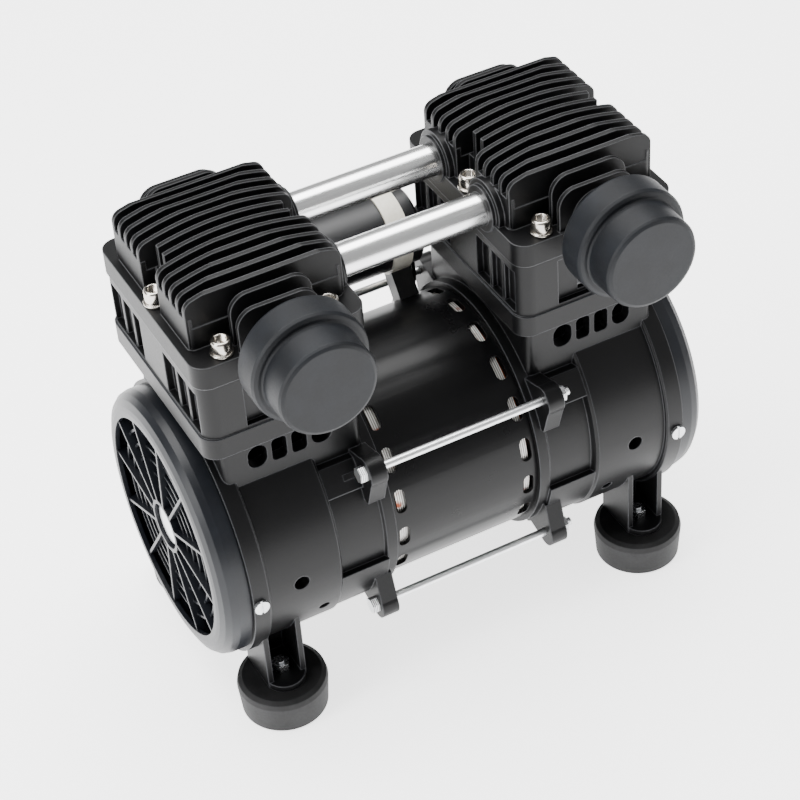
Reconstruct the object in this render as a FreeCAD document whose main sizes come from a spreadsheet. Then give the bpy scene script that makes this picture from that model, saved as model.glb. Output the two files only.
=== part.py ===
import FreeCAD, Part
import math
import os
import re
import Sketcher
from FreeCAD import Placement, Rotation, Vector

# Twin-cylinder oil-free air compressor: an electric motor in the middle, with a
# crankcase, a cylinder, a finned head and a cooling fan at each end.
# X runs along the motor shaft, -Y is the front with the intake mufflers, Z is up,
# and the origin is the centre of the four feet on the surface it stands on.
# The right-hand end (+X) is modelled, and the left-hand end is its mirror image.
SIZES = {
    # rubber feet
    "foot_span_x": 203.2, "foot_span_y": 106, "foot_height": 20, "foot_top_radius": 22.3,
    "foot_base_radius": 21.2, "insert_radius": 3, "insert_depth": 9, "stud_radius": 2.4,
    # motor
    "axis_height": 88.6, "shell_radius": 61.3, "shell_wall": 2.1, "shell_half": 39,
    "shell_slot_x": 34, "shell_slot_wide": 5.6, "shell_slot_long": 12.4, "shell_slot_count": 18,
    "core_half": 35.5, "core_bore": 38, "rotor_radius": 37.4, "winding_radius": 55.5,
    "winding_end": 51, "shaft_radius": 10, "journal_radius": 7.5, "shaft_half": 72.4,
    # crankcase
    "ring_radius": 64, "ring_end": 44.5, "neck_radius": 62.5, "neck_end": 69.5,
    "drum_radius": 67, "drum_end": 108, "rim_radius": 69.5, "rim_end": 117,
    "chamber_radius": 59, "chamber_start": 62.5, "motor_bay_radius": 56.5, "bay_end": 56,
    "spigot_start": 37.3, "bearing_radius": 17.5, "bearing_start": 58.5, "bearing_end": 69.5,
    "boss_radius": 22, "boss_end": 70,
    # tower that carries the cylinder and head
    "unit_x": 80, "tower_half_x": 42, "tower_y": 3, "tower_half_y": 54.5,
    "tower_top": 204, "lip_top": 175, "lip_bottom": 164, "corner_radius": 8,
    "wall_low_x": 44.5, "wall_high_x": 113.5, "wall_half_y": 48, "wall": 5.5,
    "deck_low": 196, "saddle_low": 138, "saddle_high": 146, "vent_low": 145.2, "vent_high": 157.8,
    # cylinder and valve gear
    "bore_radius": 27, "sleeve_radius": 30, "sleeve_foot": 143, "plate_low": 199.5,
    "plate_half": 31, "gasket_thick": 0.5, "reed_thick": 0.3, "reed_root": 66,
    "reed_tip": 94, "reed_half": 4.5, "intake_y": -12, "discharge_y": 13,
    # head
    "head_top": 216.5, "block_half_x": 37.7, "block_half_y": 40.2, "block_top": 228,
    "side_top": 233, "crest_top": 246.8, "arch_radius": 125, "crown_radius": 240,
    "fin_pitch": 7, "fin_thick": 2.4, "fin_count": 12, "notch_deep": 7, "notch_half": 9,
    "port_height": 221, "port_radius": 5.9, "intake_radius": 5.0, "port_boss": 13, "port_reach": 62.5,
    "outlet_reach": 57.5,
    "collar_half": 19.6, "collar_near_top": 241.8, "collar_far_top": 238.2,
    "chamber_roof": 222,
    # head screws
    "screw_x": 26, "screw_y": 48, "side_screw_x": 36.5, "screw_radius": 2.9,
    "screw_head_radius": 4.6, "screw_head_tall": 6.5, "washer_radius": 5.4, "washer_thick": 1.5,
    # crossover tubes
    "tube_radius": 8, "tube_front_y": -18.5, "tube_rear_y": 28, "tube_height": 220,
    "tube_half": 46, "socket_radius": 14, "socket_face": 37.2,
    # intake mufflers
    "muffler_back": 65, "muffler_step": 81.3, "muffler_front": 97.5, "muffler_ring": 28,
    "muffler_cap": 23.5, "muffler_wall": 2,
    # crank and piston
    "throw": 6, "pin_radius": 5, "rod_start": 75.1, "rod_wide": 9.8, "big_end_radius": 23.5,
    "ring_bore": 17.3, "ring_outer": 19.4, "piston_radius": 26.3, "piston_low": 180,
    "web_radius": 13, "weight_radius": 30, "spindle_radius": 5,
    # fan and its cover
    "fan_radius": 54, "fan_start": 111.2, "fan_end": 122.7, "fan_hub": 9, "blade_count": 8,
    "cover_radius": 67.5, "cover_end": 131.5, "grille_radius": 55.6, "grille_hub": 13.6,
    "spoke_count": 12, "cover_wall": 2.5,
    # through-bolts
    "ear_y": 60, "ear_rise": 42.6, "ear_start": 42.8, "ear_end": 51.4, "ear_radius": 7.5,
    "ear_tail": 18.5,
    "bolt_radius": 2, "nut_circle": 4.04, "nut_tall": 3.4,
    # run capacitor
    "can_radius": 20, "can_half": 35.5, "can_y": 56, "can_height": 167, "lead_radius": 0.95,
    "clip_start": 17.5, "clip_end": 28,
}

doc = FreeCAD.newDocument("AirCompressor")
sheet = doc.addObject("Spreadsheet::Sheet", "Sizes")
for row, (alias, number) in enumerate(SIZES.items(), 1):
    sheet.set(f"A{row}", alias.replace("_", " "))
    sheet.set(f"B{row}", str(number))
    sheet.setAlias(f"B{row}", alias)
doc.recompute()

TURN = {
    "Z": Rotation(),
    "X": Rotation(Vector(0, 1, 0), 90),
    "Y": Rotation(Vector(1, 0, 0), -90),
    "-Y": Rotation(Vector(1, 0, 0), 90),
}


def linked(text):
    """The expression with each size's name pointing at its cell in the sheet."""
    return re.sub(r"[a-z][a-z_]*", lambda hit: "Sizes." + hit.group() if hit.group() in SIZES else hit.group(), text)


def value(text):
    """The number that an expression of sizes stands for now."""
    result = sheet.evalExpression(linked(text))
    return float(getattr(result, "Value", result))


def bind(thing, prop, text):
    thing.setExpression(prop, linked(text))


def place(thing, at, turn="Z"):
    thing.Placement = Placement(Vector(0, 0, 0), TURN[turn])
    for axis, text in zip("xyz", at):
        bind(thing, f"Placement.Base.{axis}", text)
    return thing


def box(name, low, high):
    """A box between two corners, each three size expressions."""
    block = doc.addObject("Part::Box", name)
    for prop, start, end in zip(("Length", "Width", "Height"), low, high):
        bind(block, prop, f"({end}) - ({start})")
    return place(block, low)


def rod(name, radius, length, at, turn="Z"):
    """A cylinder that starts at a point and runs along the turned axis."""
    bar = doc.addObject("Part::Cylinder", name)
    bind(bar, "Radius", radius)
    bind(bar, "Height", length)
    return place(bar, at, turn)


def hexagon(name, circle, length, at, turn="Z"):
    prism = doc.addObject("Part::Prism", name)
    prism.Polygon = 6
    bind(prism, "Circumradius", circle)
    bind(prism, "Height", length)
    return place(prism, at, turn)


def fuse(name, pieces):
    joined = doc.addObject("Part::MultiFuse", name)
    joined.Shapes = pieces
    return joined


def cut(name, base, tools):
    result = doc.addObject("Part::Cut", name)
    result.Base = base
    result.Tool = tools[0] if len(tools) == 1 else fuse(name + "_tools", tools)
    return result


def common(name, first, second):
    result = doc.addObject("Part::Common", name)
    result.Base = first
    result.Tool = second
    return result


def group(name, pieces):
    """Separate solids that share one node, such as a set of like fasteners."""
    together = doc.addObject("Part::Compound", name)
    together.Links = pieces
    return together


def mirrored(name, source):
    image = doc.addObject("Part::Mirroring", name)
    image.Source = source
    image.Normal = (1, 0, 0)
    return image


def turned_copy(name, source, angle, axis=Vector(1, 0, 0), centre=("0", "0", "axis_height")):
    """The same piece again, turned about a line, by default the motor axis."""
    copy = doc.addObject("Part::Compound", name)
    copy.Links = [source]
    middle = Vector(*[value(text) for text in centre])
    copy.Placement = Placement(Vector(0, 0, 0), Rotation(axis, angle), middle)
    return copy


def new_body(name):
    body = doc.addObject("PartDesign::Body", name)
    body.Label = name
    return body


def outline(body, role, corners):
    """A closed sketch of straight lines, each corner a pair of size expressions."""
    sketch = body.newObject("Sketcher::SketchObject", body.Name + "_sketch")
    plane = [item for item in body.Origin.OriginFeatures if item.Role == role][0]
    sketch.AttachmentSupport = [(plane, "")]
    sketch.MapMode = "FlatFace"
    points = [Vector(value(across), value(up), 0) for across, up in corners]
    count = len(points)
    for here in range(count):
        sketch.addGeometry(Part.LineSegment(points[here], points[(here + 1) % count]), False)
    for here in range(count):
        sketch.addConstraint(Sketcher.Constraint("Coincident", here, 2, (here + 1) % count, 1))
    for here, pair in enumerate(corners):
        for kind, text in zip(("DistanceX", "DistanceY"), pair):
            number = sketch.addConstraint(Sketcher.Constraint(kind, -1, 1, here, 1, value(text)))
            sketch.setExpression(f"Constraints[{number}]", linked(text))
    return sketch


def lathe(name, profile, at=("0", "0", "0"), turn="Z"):
    """A body turned about its own axis from (radius, distance along) corners."""
    body = new_body(name)
    spin = body.newObject("PartDesign::Revolution", name + "_turned")
    sketch = outline(body, "XZ_Plane", profile)
    spin.Profile = sketch
    spin.ReferenceAxis = (sketch, ["V_Axis"])
    spin.Angle = 360
    body.Tip = spin
    return place(body, at, turn)


def slab(name, low, high, radius=None, role="XY_Plane"):
    """A padded rectangle. Its four edges along the pad are rounded when a radius is given."""
    body = new_body(name)
    first, second, third = {"XY_Plane": (0, 1, 2), "XZ_Plane": (0, 2, 1)}[role]
    low_pair = (low[first], low[second])
    high_pair = (high[first], high[second])
    corners = [low_pair, (high_pair[0], low_pair[1]), high_pair, (low_pair[0], high_pair[1])]
    pad = body.newObject("PartDesign::Pad", name + "_pad")
    pad.Profile = outline(body, role, corners)
    bind(pad, "Length", f"({high[third]}) - ({low[third]})")
    body.Tip = pad
    if radius:
        doc.recompute()
        along = Vector(0, 0, 1) if role == "XY_Plane" else Vector(0, 1, 0)
        names = [
            f"Edge{number}" for number, edge in enumerate(pad.Shape.Edges, 1)
            if abs(abs((edge.lastVertex().Point - edge.firstVertex().Point).normalize().dot(along)) - 1) < 1e-6
        ]
        rounding = body.newObject("PartDesign::Fillet", name + "_rounded")
        rounding.Base = (pad, names)
        bind(rounding, "Radius", radius)
        body.Tip = rounding
    if role == "XY_Plane":
        return place(body, ("0", "0", low[2]))
    return place(body, ("0", high[1], "0"))


def rounded(name, base, radius, chosen):
    """A fillet on every edge of the base that the test picks."""
    doc.recompute()
    blend = doc.addObject("Part::Fillet", name)
    blend.Base = base
    size = value(radius)
    blend.Edges = [
        (number, size, size) for number, edge in enumerate(base.Shape.Edges, 1) if chosen(edge)
    ]
    return blend


def around_axis(radius, angle):
    """The point on a circle about the motor axis, the angle counted from the front upwards."""
    return Vector(0, -radius * math.cos(math.radians(angle)), radius * math.sin(math.radians(angle)))


NODES = {}


def keep(name, thing):
    thing.Label = name
    NODES[name] = thing
    return thing


def keep_pair(name, right_piece):
    keep("right_" + name, right_piece)
    keep("left_" + name, mirrored("left_" + name, right_piece))


# ---- motor ---------------------------------------------------------------------------
shell_tube = lathe(
    "shell_tube",
    [
        ("shell_radius - shell_wall", "-shell_half"),
        ("shell_radius", "-shell_half"),
        ("shell_radius", "shell_half"),
        ("shell_radius - shell_wall", "shell_half"),
    ],
    ("0", "0", "axis_height"), "X")
slot_count = int(value("shell_slot_count"))
slots = []
for side in (-1, 1):
    for number in range(slot_count):
        slot = slab(
            f"shell_slot_{'left' if side < 0 else 'right'}_{number}",
            ("-shell_slot_wide / 2", "-shell_radius - 3", "-shell_slot_long / 2"),
            ("shell_slot_wide / 2", "-shell_radius + 8", "shell_slot_long / 2"),
            "shell_slot_wide / 2 - 0.05", "XZ_Plane")
        angle = 14.5 + 360 / slot_count * number
        tilt = Rotation(Vector(1, 0, 0), -angle)
        slot.setExpression("Placement.Base.y", None)
        slot.setExpression("Placement.Base.x", None)
        slot.setExpression("Placement.Base.z", None)
        reach = tilt.multVec(Vector(0, value("-shell_radius + 8"), 0))
        slot.Placement = Placement(
            Vector(side * value("shell_slot_x"), 0, value("axis_height")) + reach, tilt)
        slots.append(slot)
keep("motor_shell", cut("motor_shell", shell_tube, slots))

keep("stator_core", lathe(
    "stator_core",
    [
        ("core_bore", "-core_half"),
        ("shell_radius - shell_wall - 0.05", "-core_half"),
        ("shell_radius - shell_wall - 0.05", "core_half"),
        ("core_bore", "core_half"),
    ],
    ("0", "0", "axis_height"), "X"))

coils = []
for side, start in (("left", "-winding_end"), ("right", "core_half")):
    coils.append(lathe(
        f"coil_{side}",
        [
            ("core_bore + 3", "0"),
            ("winding_radius", "0"),
            ("winding_radius", "winding_end - core_half - 3"),
            ("winding_radius - 3", "winding_end - core_half"),
            ("core_bore + 5", "winding_end - core_half"),
            ("core_bore + 3", "winding_end - core_half - 3"),
        ] if side == "right" else [
            ("core_bore + 3", "3"),
            ("core_bore + 5", "0"),
            ("winding_radius - 3", "0"),
            ("winding_radius", "3"),
            ("winding_radius", "winding_end - core_half"),
            ("core_bore + 3", "winding_end - core_half"),
        ],
        (start, "0", "axis_height"), "X"))
keep("stator_windings", group("stator_windings", coils))

keep("rotor_core", lathe(
    "rotor_core",
    [
        ("shaft_radius + 0.05", "-core_half"),
        ("rotor_radius", "-core_half"),
        ("rotor_radius", "core_half"),
        ("shaft_radius + 0.05", "core_half"),
    ],
    ("0", "0", "axis_height"), "X"))

keep("motor_shaft", lathe(
    "motor_shaft",
    [
        ("0", "-shaft_half"),
        ("journal_radius", "-shaft_half"),
        ("journal_radius", "-winding_end"),
        ("shaft_radius", "-winding_end"),
        ("shaft_radius", "winding_end"),
        ("journal_radius", "winding_end"),
        ("journal_radius", "shaft_half"),
        ("0", "shaft_half"),
    ],
    ("0", "0", "axis_height"), "X"))

keep_pair("shaft_bearing", lathe(
    "right_shaft_bearing",
    [
        ("journal_radius + 0.05", "bearing_start + 0.05"),
        ("bearing_radius", "bearing_start + 0.05"),
        ("bearing_radius", "bearing_end"),
        ("journal_radius + 0.05", "bearing_end"),
    ],
    ("0", "0", "axis_height"), "X"))

# ---- crankcase -----------------------------------------------------------------------
drum = lathe(
    "drum",
    [
        ("0", "spigot_start"),
        ("shell_radius - shell_wall - 0.1", "spigot_start"),
        ("shell_radius - shell_wall - 0.1", "shell_half"),
        ("ring_radius", "shell_half"),
        ("ring_radius", "ring_end"),
        ("neck_radius", "ring_end + 1"),
        ("neck_radius", "neck_end - 1"),
        ("drum_radius - 1.2", "neck_end"),
        ("drum_radius", "neck_end + 1.2"),
        ("drum_radius", "drum_end"),
        ("rim_radius - 0.8", "drum_end"),
        ("rim_radius", "drum_end + 0.8"),
        ("rim_radius", "rim_end"),
        ("0", "rim_end"),
    ],
    ("0", "0", "axis_height"), "X")

tower_low_y = "tower_y - tower_half_y"
tower_high_y = "tower_y + tower_half_y"
tower_box = slab(
    "tower_box",
    ("unit_x - tower_half_x + 0.8", f"{tower_low_y} + 0.8", "lip_bottom"),
    ("unit_x + tower_half_x - 0.8", f"{tower_high_y} - 0.8", "tower_top"),
    "corner_radius")
tower_lip = slab(
    "tower_lip",
    ("unit_x - tower_half_x", tower_low_y, "lip_bottom"),
    ("unit_x + tower_half_x", tower_high_y, "lip_top"),
    "corner_radius")
tower_wall = slab(
    "tower_wall",
    ("wall_low_x", "tower_y - wall_half_y", "axis_height + 30"),
    ("wall_high_x", "tower_y + wall_half_y", "lip_bottom + 1"),
    "3")

outside = [drum, tower_box, tower_lip, tower_wall]
for side, name in ((-1, "front"), (1, "rear")):
    # a channel-shaped leg, open to the outside, with a round toe round the foot's stud
    centre = f"{side} * foot_span_y / 2"
    outer_y = f"{centre} + {side * 7}"
    inner_y = f"{centre} - {side * 17}"
    low_y, high_y = (outer_y, inner_y) if side < 0 else (inner_y, outer_y)
    leg = box(
        f"leg_{name}",
        ("foot_span_x / 2 - 10", low_y, "foot_height"),
        ("foot_span_x / 2 + 10", high_y, "foot_height + 42"))
    toe = rod(f"toe_{name}", "10", "3.5", ("foot_span_x / 2", centre, "foot_height"))
    toe_front = rod(
        f"toe_front_{name}", "10", "3.5",
        ("foot_span_x / 2", f"{centre} + {side * 4}", "foot_height"))
    hollow_low = (f"{centre} - 12.5", f"{centre} + 20") if side > 0 else (f"{centre} - 20", f"{centre} + 12.5")
    hollow = box(
        f"leg_hollow_{name}",
        ("foot_span_x / 2 - 7.2", hollow_low[0], "foot_height + 3.5"),
        ("foot_span_x / 2 + 7.2", hollow_low[1], "foot_height + 60"))
    outside.append(fuse(f"leg_shape_{name}", [cut(f"leg_channel_{name}", leg, [hollow]), toe, toe_front]))

for side_y in (-1, 1):
    for side_z in (-1, 1):
        tag = f"{'front' if side_y < 0 else 'rear'}_{'low' if side_z < 0 else 'high'}"
        ear_at = (
            "ear_start", f"{side_y} * ear_y", f"axis_height + {side_z} * ear_rise")
        eye = rod(f"ear_eye_{tag}", "ear_radius", "ear_end - ear_start", ear_at, "X")
        # a flat tail runs from the eye towards the middle and sinks into the casting
        tail = new_body(f"ear_tail_{tag}")
        pad = tail.newObject("PartDesign::Pad", f"ear_tail_pad_{tag}")
        pad.Profile = outline(tail, "YZ_Plane", [
            (f"{side_y} * (ear_y + ear_radius)", f"{side_z} * ear_rise"),
            (f"{side_y} * (ear_y + 1.5)", f"{side_z} * (ear_rise - ear_tail)"),
            (f"{side_y} * 50", f"{side_z} * (ear_rise - ear_tail)"),
            (f"{side_y} * 44", f"{side_z} * (ear_rise + 3)"),
            (f"{side_y} * ear_y", f"{side_z} * (ear_rise + ear_radius)"),
        ])
        bind(pad, "Length", "ear_end - ear_start")
        tail.Tip = pad
        place(tail, ("ear_start", "0", "axis_height"))
        lean = math.degrees(math.atan2(side_z * value("ear_rise"), side_y * value("ear_y")))
        gusset = box(
            f"ear_gusset_{tag}",
            ("ear_end - 1", "55", "-1.5"),
            ("ear_end + 8", "neck_radius + 3.5", "1.5"))
        gusset_turned = turned_copy(f"ear_gusset_turned_{tag}", gusset, lean, centre=("0", "0", "0"))
        bind(gusset_turned, "Placement.Base.z", "axis_height")
        outside += [eye, tail, gusset_turned]

# raised pads low and high on each side of the neck
pad_ring = lathe(
    "pad_ring",
    [
        ("50", "ring_end"),
        ("neck_radius + 3.4", "ring_end"),
        ("neck_radius + 3.4", "neck_end"),
        ("50", "neck_end"),
    ],
    ("0", "0", "axis_height"), "X")
pad_window = box(
    "pad_window",
    ("ring_end - 1", "-80", "axis_height - 52"),
    ("neck_end + 1", "80", "axis_height - 12"))
pad_window_high = box(
    "pad_window_high",
    ("ring_end + 3", "-80", "axis_height + 32"),
    ("neck_end + 1", "80", "axis_height + 44"))
outside.append(common("neck_pads", pad_ring, fuse("pad_windows", [pad_window, pad_window_high])))

casting_outside = fuse("casting_outside", outside)

inside = [
    rod("chamber", "chamber_radius", "rim_end - chamber_start + 5",
        ("chamber_start", "0", "axis_height"), "X"),
    rod("motor_bay", "motor_bay_radius", "bay_end - spigot_start + 5",
        ("spigot_start - 5", "0", "axis_height"), "X"),
]
bored = cut("casting_bored", casting_outside, inside)

bearing_boss = rod(
    "bearing_boss", "boss_radius", "boss_end - bay_end - 3",
    ("bay_end + 3", "0", "axis_height"), "X")
saddle = box(
    "saddle",
    ("unit_x - 28.5", "-36", "saddle_low"),
    ("unit_x + 33", "36", "saddle_high + 6"))
screw_posts = []
screw_places = [
    (f"unit_x + {across} * screw_x", f"tower_y + {along} * screw_y")
    for across in (-1, 1) for along in (-1, 1)
]
screw_places += [(f"unit_x + {across} * side_screw_x", "tower_y") for across in (-1, 1)]

cavity_low = box(
    "cavity_low",
    ("wall_low_x + 4.8", "tower_y - wall_half_y + wall", "saddle_high"),
    ("wall_high_x - 2.8", "tower_y + wall_half_y - wall", "lip_bottom + 1"))
cavity_high = box(
    "cavity_high",
    ("unit_x - tower_half_x + wall + 1", f"{tower_low_y} + wall + 1", "lip_bottom + 1"),
    ("unit_x + tower_half_x - wall - 1", f"{tower_high_y} - wall - 1", "deck_low"))
tower_hollow = cut("casting_tower_hollow", fuse("casting_with_boss", [bored, bearing_boss, saddle]),
                   [cavity_low, cavity_high])

for number, (across, along) in enumerate(screw_places):
    screw_posts.append(rod(f"screw_post_{number}", "5.4", "deck_low - lip_top", (across, along, "lip_top")))
post_box = slab(
    "post_box",
    ("unit_x - tower_half_x + 1.5", f"{tower_low_y} + 1.5", "lip_bottom"),
    ("unit_x + tower_half_x - 1.5", f"{tower_high_y} - 1.5", "tower_top"),
    "corner_radius")
posts = common("screw_posts", fuse("screw_posts_whole", screw_posts), post_box)

openings = [
    rod("bearing_seat", "bearing_radius + 0.05", "30", ("bearing_start", "0", "axis_height"), "X"),
    rod("shaft_hole", "13", "10", ("bay_end - 1", "0", "axis_height"), "X"),
    rod("rod_hole", "bore_radius + 0.4", "12", ("unit_x", "0", "saddle_low - 2")),
    rod("sleeve_seat", "sleeve_radius + 0.1", "tower_top - sleeve_foot", ("unit_x", "0", "sleeve_foot")),
    rod("fan_space", "chamber_radius", "10", ("rim_end - 6.7", "0", "axis_height"), "X"),
    box("plate_recess",
        ("unit_x - plate_half - 0.2", "-plate_half - 0.2", "plate_low"),
        ("unit_x + plate_half + 0.2", "plate_half + 0.2", "tower_top + 1")),
]
for number, (across, along) in enumerate(screw_places):
    openings.append(rod(
        f"screw_hole_{number}", "screw_radius + 0.05", "20", (across, along, "tower_top - 18")))

# four vent slots under the lip in the front wall, and the same in the rear wall
slot_edges = ((59, 69, "4.6"), (71.5, 79, "2.2"), (81.5, 89, "2.2"), (91.5, 101, "4.6"))
for number, (slot_low, slot_high, slot_round) in enumerate(slot_edges):
    for face, low_y, high_y in (
            ("front", "tower_y - wall_half_y - 2", "tower_y - wall_half_y + wall + 2"),
            ("rear", "tower_y + wall_half_y - wall - 2", "tower_y + wall_half_y + 2")):
        openings.append(slab(
            f"vent_{face}_{number}",
            (str(slot_low), low_y, "vent_low"),
            (str(slot_high), high_y, "vent_high"),
            slot_round, "XZ_Plane"))

# air passes down both sides of the cylinder into the chamber below
for face, low_y, high_y in (("front", "-38.5", "-32"), ("rear", "32", "44.5")):
    openings.append(box(
        f"air_way_{face}", ("unit_x - 25", low_y, "axis_height + 25"), ("unit_x + 25", high_y, "saddle_high + 2")))

# recessed windows: one in the front and rear faces, two in each side face
for face, y_low, y_high in (("front", f"{tower_low_y} - 1", f"{tower_low_y} + 3.8"),
                            ("rear", f"{tower_high_y} - 3.8", f"{tower_high_y} + 1")):
    openings.append(box(
        f"window_{face}", ("unit_x - 21", y_low, "lip_top + 1.5"), ("unit_x + 21", y_high, "tower_top - 2.5")))
    y_open = (f"{tower_low_y} - 1", f"{tower_low_y} + 8") if face == "front" else (f"{tower_high_y} - 8", f"{tower_high_y} + 1")
    openings.append(box(
        f"window_open_{face}", ("unit_x - 9", y_open[0], "lip_top + 3.5"), ("unit_x + 9", y_open[1], "tower_top - 12")))
window_ribs = []
for face, x_low, x_high in (("inner", "unit_x - tower_half_x - 1", "unit_x - tower_half_x + 4.3"),
                            ("outer", "unit_x + tower_half_x - 4.3", "unit_x + tower_half_x + 1")):
    for half, y_low, y_high in (("front", -48, -7), ("rear", 13, 54)):
        openings.append(box(
            f"window_{face}_{half}",
            (x_low, str(y_low + 3), "lip_top + 1.5"),
            (x_high, str(y_high - 3), "tower_top - 4.5")))
        rib_low = "unit_x - tower_half_x + 1.8" if face == "inner" else "unit_x + tower_half_x - 5"
        rib_high = "unit_x - tower_half_x + 5" if face == "inner" else "unit_x + tower_half_x - 1.8"
        for third in (1, 2):
            middle = y_low + 3 + (y_high - y_low - 6) * third / 3
            window_ribs.append(box(
                f"rib_{face}_{half}_{third}",
                (rib_low, str(middle - 1.2), "lip_top + 1"),
                (rib_high, str(middle + 1.2), "tower_top - 4")))

# holes through the drum's side walls, for air and for the fan cover's screws
def radial_hole(name, radius, x, angle, length, start):
    """A hole that runs outwards from the motor axis."""
    drill = doc.addObject("Part::Cylinder", name)
    drill.Radius = radius
    drill.Height = length
    direction = around_axis(1, angle)
    drill.Placement = Placement(
        Vector(x, 0, value("axis_height")) + direction * start,
        Rotation(Vector(0, 0, 1), direction))
    return drill


for angle in (-1.5, 181.5):
    openings.append(radial_hole(f"side_hole_{int(angle) + 5}", 3.9, 91, angle, 20, value("chamber_radius") - 4))
for angle in (-25.5, 205.5):
    openings.append(radial_hole(f"drain_hole_{int(angle) + 40}", 2.8, 78.6, angle, 20, value("chamber_radius") - 4))
COVER_SCREW_ANGLES = (-2, 182, 270)
COVER_SCREW_X = 113.5
for number, angle in enumerate(COVER_SCREW_ANGLES):
    openings.append(radial_hole(f"cover_hole_{number}", 2.1, COVER_SCREW_X, angle, 20, value("chamber_radius") - 4))

for side_y in (-1, 1):
    name = "front" if side_y < 0 else "rear"
    openings.append(rod(
        f"stud_hole_{name}", "stud_radius + 0.2", "12",
        ("foot_span_x / 2", f"{side_y} * foot_span_y / 2", "foot_height - 2")))
    for side_z in (-1, 1):
        openings.append(rod(
            f"bolt_hole_{name}_{'low' if side_z < 0 else 'high'}", "bolt_radius + 0.3", "30",
            ("ear_start - 5", f"{side_y} * ear_y", f"axis_height + {side_z} * ear_rise"), "X"))

crankcase_cut = cut("crankcase_cut", fuse("casting_with_posts", [tower_hollow, posts]), openings)
keep_pair("crankcase", fuse("right_crankcase", [crankcase_cut] + window_ribs))

# ---- cylinder, valve plate and gasket ----------------------------------------------------
keep_pair("cylinder", lathe(
    "right_cylinder",
    [
        ("bore_radius", "sleeve_foot"),
        ("sleeve_radius", "sleeve_foot"),
        ("sleeve_radius", "plate_low"),
        ("bore_radius", "plate_low"),
    ],
    ("unit_x", "0", "0")))

plate_blank = slab(
    "plate_blank",
    ("unit_x - plate_half", "-plate_half", "plate_low"),
    ("unit_x + plate_half", "plate_half", "tower_top"),
    "2")
valve_ports = []
for name, y in (("intake", "intake_y"), ("discharge", "discharge_y")):
    for number, x in enumerate((82, 88)):
        valve_ports.append(rod(f"{name}_port_{number}", "2.2", "12", (str(x), y, "plate_low - 2")))
keep_pair("valve_plate", cut("right_valve_plate", plate_blank, valve_ports))

gasket_blank = slab(
    "gasket_blank",
    ("unit_x - tower_half_x + 0.8", f"{tower_low_y} + 0.8", "tower_top"),
    ("unit_x + tower_half_x - 0.8", f"{tower_high_y} - 0.8", "tower_top + gasket_thick"),
    "corner_radius")
head_bottom = "tower_top + gasket_thick"
CHAMBERS = (("intake", "-29", "2"), ("discharge", "6", "37"))
gasket_holes = [
    box(f"gasket_{name}_window",
        ("unit_x - 26", low, "tower_top - 1"), ("unit_x + 26", high, "tower_top + 2"))
    for name, low, high in CHAMBERS
]
gasket_holes += [
    rod(f"gasket_hole_{number}", "screw_radius + 0.2", "4", (across, along, "tower_top - 1"))
    for number, (across, along) in enumerate(screw_places)
]
keep_pair("head_gasket", cut("right_head_gasket", gasket_blank, gasket_holes))

# reed valves: thin strips that lift from their fixed end
keep_pair("intake_reed", slab(
    "right_intake_reed",
    ("reed_root", "intake_y - reed_half", "plate_low - reed_thick"),
    ("reed_tip", "intake_y + reed_half", "plate_low"),
    "reed_half - 1"))
keep_pair("discharge_reed", slab(
    "right_discharge_reed",
    ("reed_root", "discharge_y - reed_half", "tower_top"),
    ("reed_tip", "discharge_y + reed_half", "tower_top + reed_thick"),
    "reed_half - 1"))

# ---- head --------------------------------------------------------------------------------
flange = slab(
    "head_flange",
    ("unit_x - tower_half_x", tower_low_y, head_bottom),
    ("unit_x + tower_half_x", tower_high_y, "head_top"),
    "corner_radius")
block = slab(
    "head_block",
    ("unit_x - block_half_x", "tower_y - block_half_y", "head_top - 2"),
    ("unit_x + block_half_x", "tower_y + block_half_y", "side_top"),
    "3")
fin_valley = box(
    "fin_valley",
    ("unit_x - block_half_x + 2.6", "tower_y - block_half_y - 1", "block_top"),
    ("unit_x + block_half_x - 2.6", "tower_y + block_half_y + 1", "side_top + 1"))
solid_block = cut("head_solid_block", block, [fin_valley])

fin_low = "head_top + 1"
arch_block = box(
    "arch_block",
    ("unit_x - block_half_x", "tower_y - block_half_y", fin_low),
    ("unit_x + block_half_x", "tower_y + block_half_y", "crest_top + 5"))
arch_drum = rod(
    "arch_drum", "arch_radius", "2 * block_half_y + 4",
    ("unit_x", "tower_y - block_half_y - 2", "crest_top - arch_radius"), "Y")
arch = rounded(
    "arch_rounded", common("arch", arch_block, arch_drum), "5.5",
    lambda edge: edge.BoundBox.ZMin > value("side_top") and edge.BoundBox.YLength > 50)
crown = rod(
    "crown", "crown_radius", "2 * block_half_x + 10",
    ("unit_x - block_half_x - 5", "tower_y", "crest_top - crown_radius"), "X")
envelope = common("fin_envelope", arch, crown)
fin_total = int(value("fin_count"))
fins = [
    box(f"fin_{number}",
        ("unit_x - block_half_x - 1", f"tower_y + fin_pitch * {number - (fin_total - 1) / 2} - fin_thick / 2", fin_low),
        ("unit_x + block_half_x + 1", f"tower_y + fin_pitch * {number - (fin_total - 1) / 2} + fin_thick / 2", "crest_top + 3"))
    for number in range(fin_total)
]
finned = common("head_fins", group("fin_blanks", fins), envelope)

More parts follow.
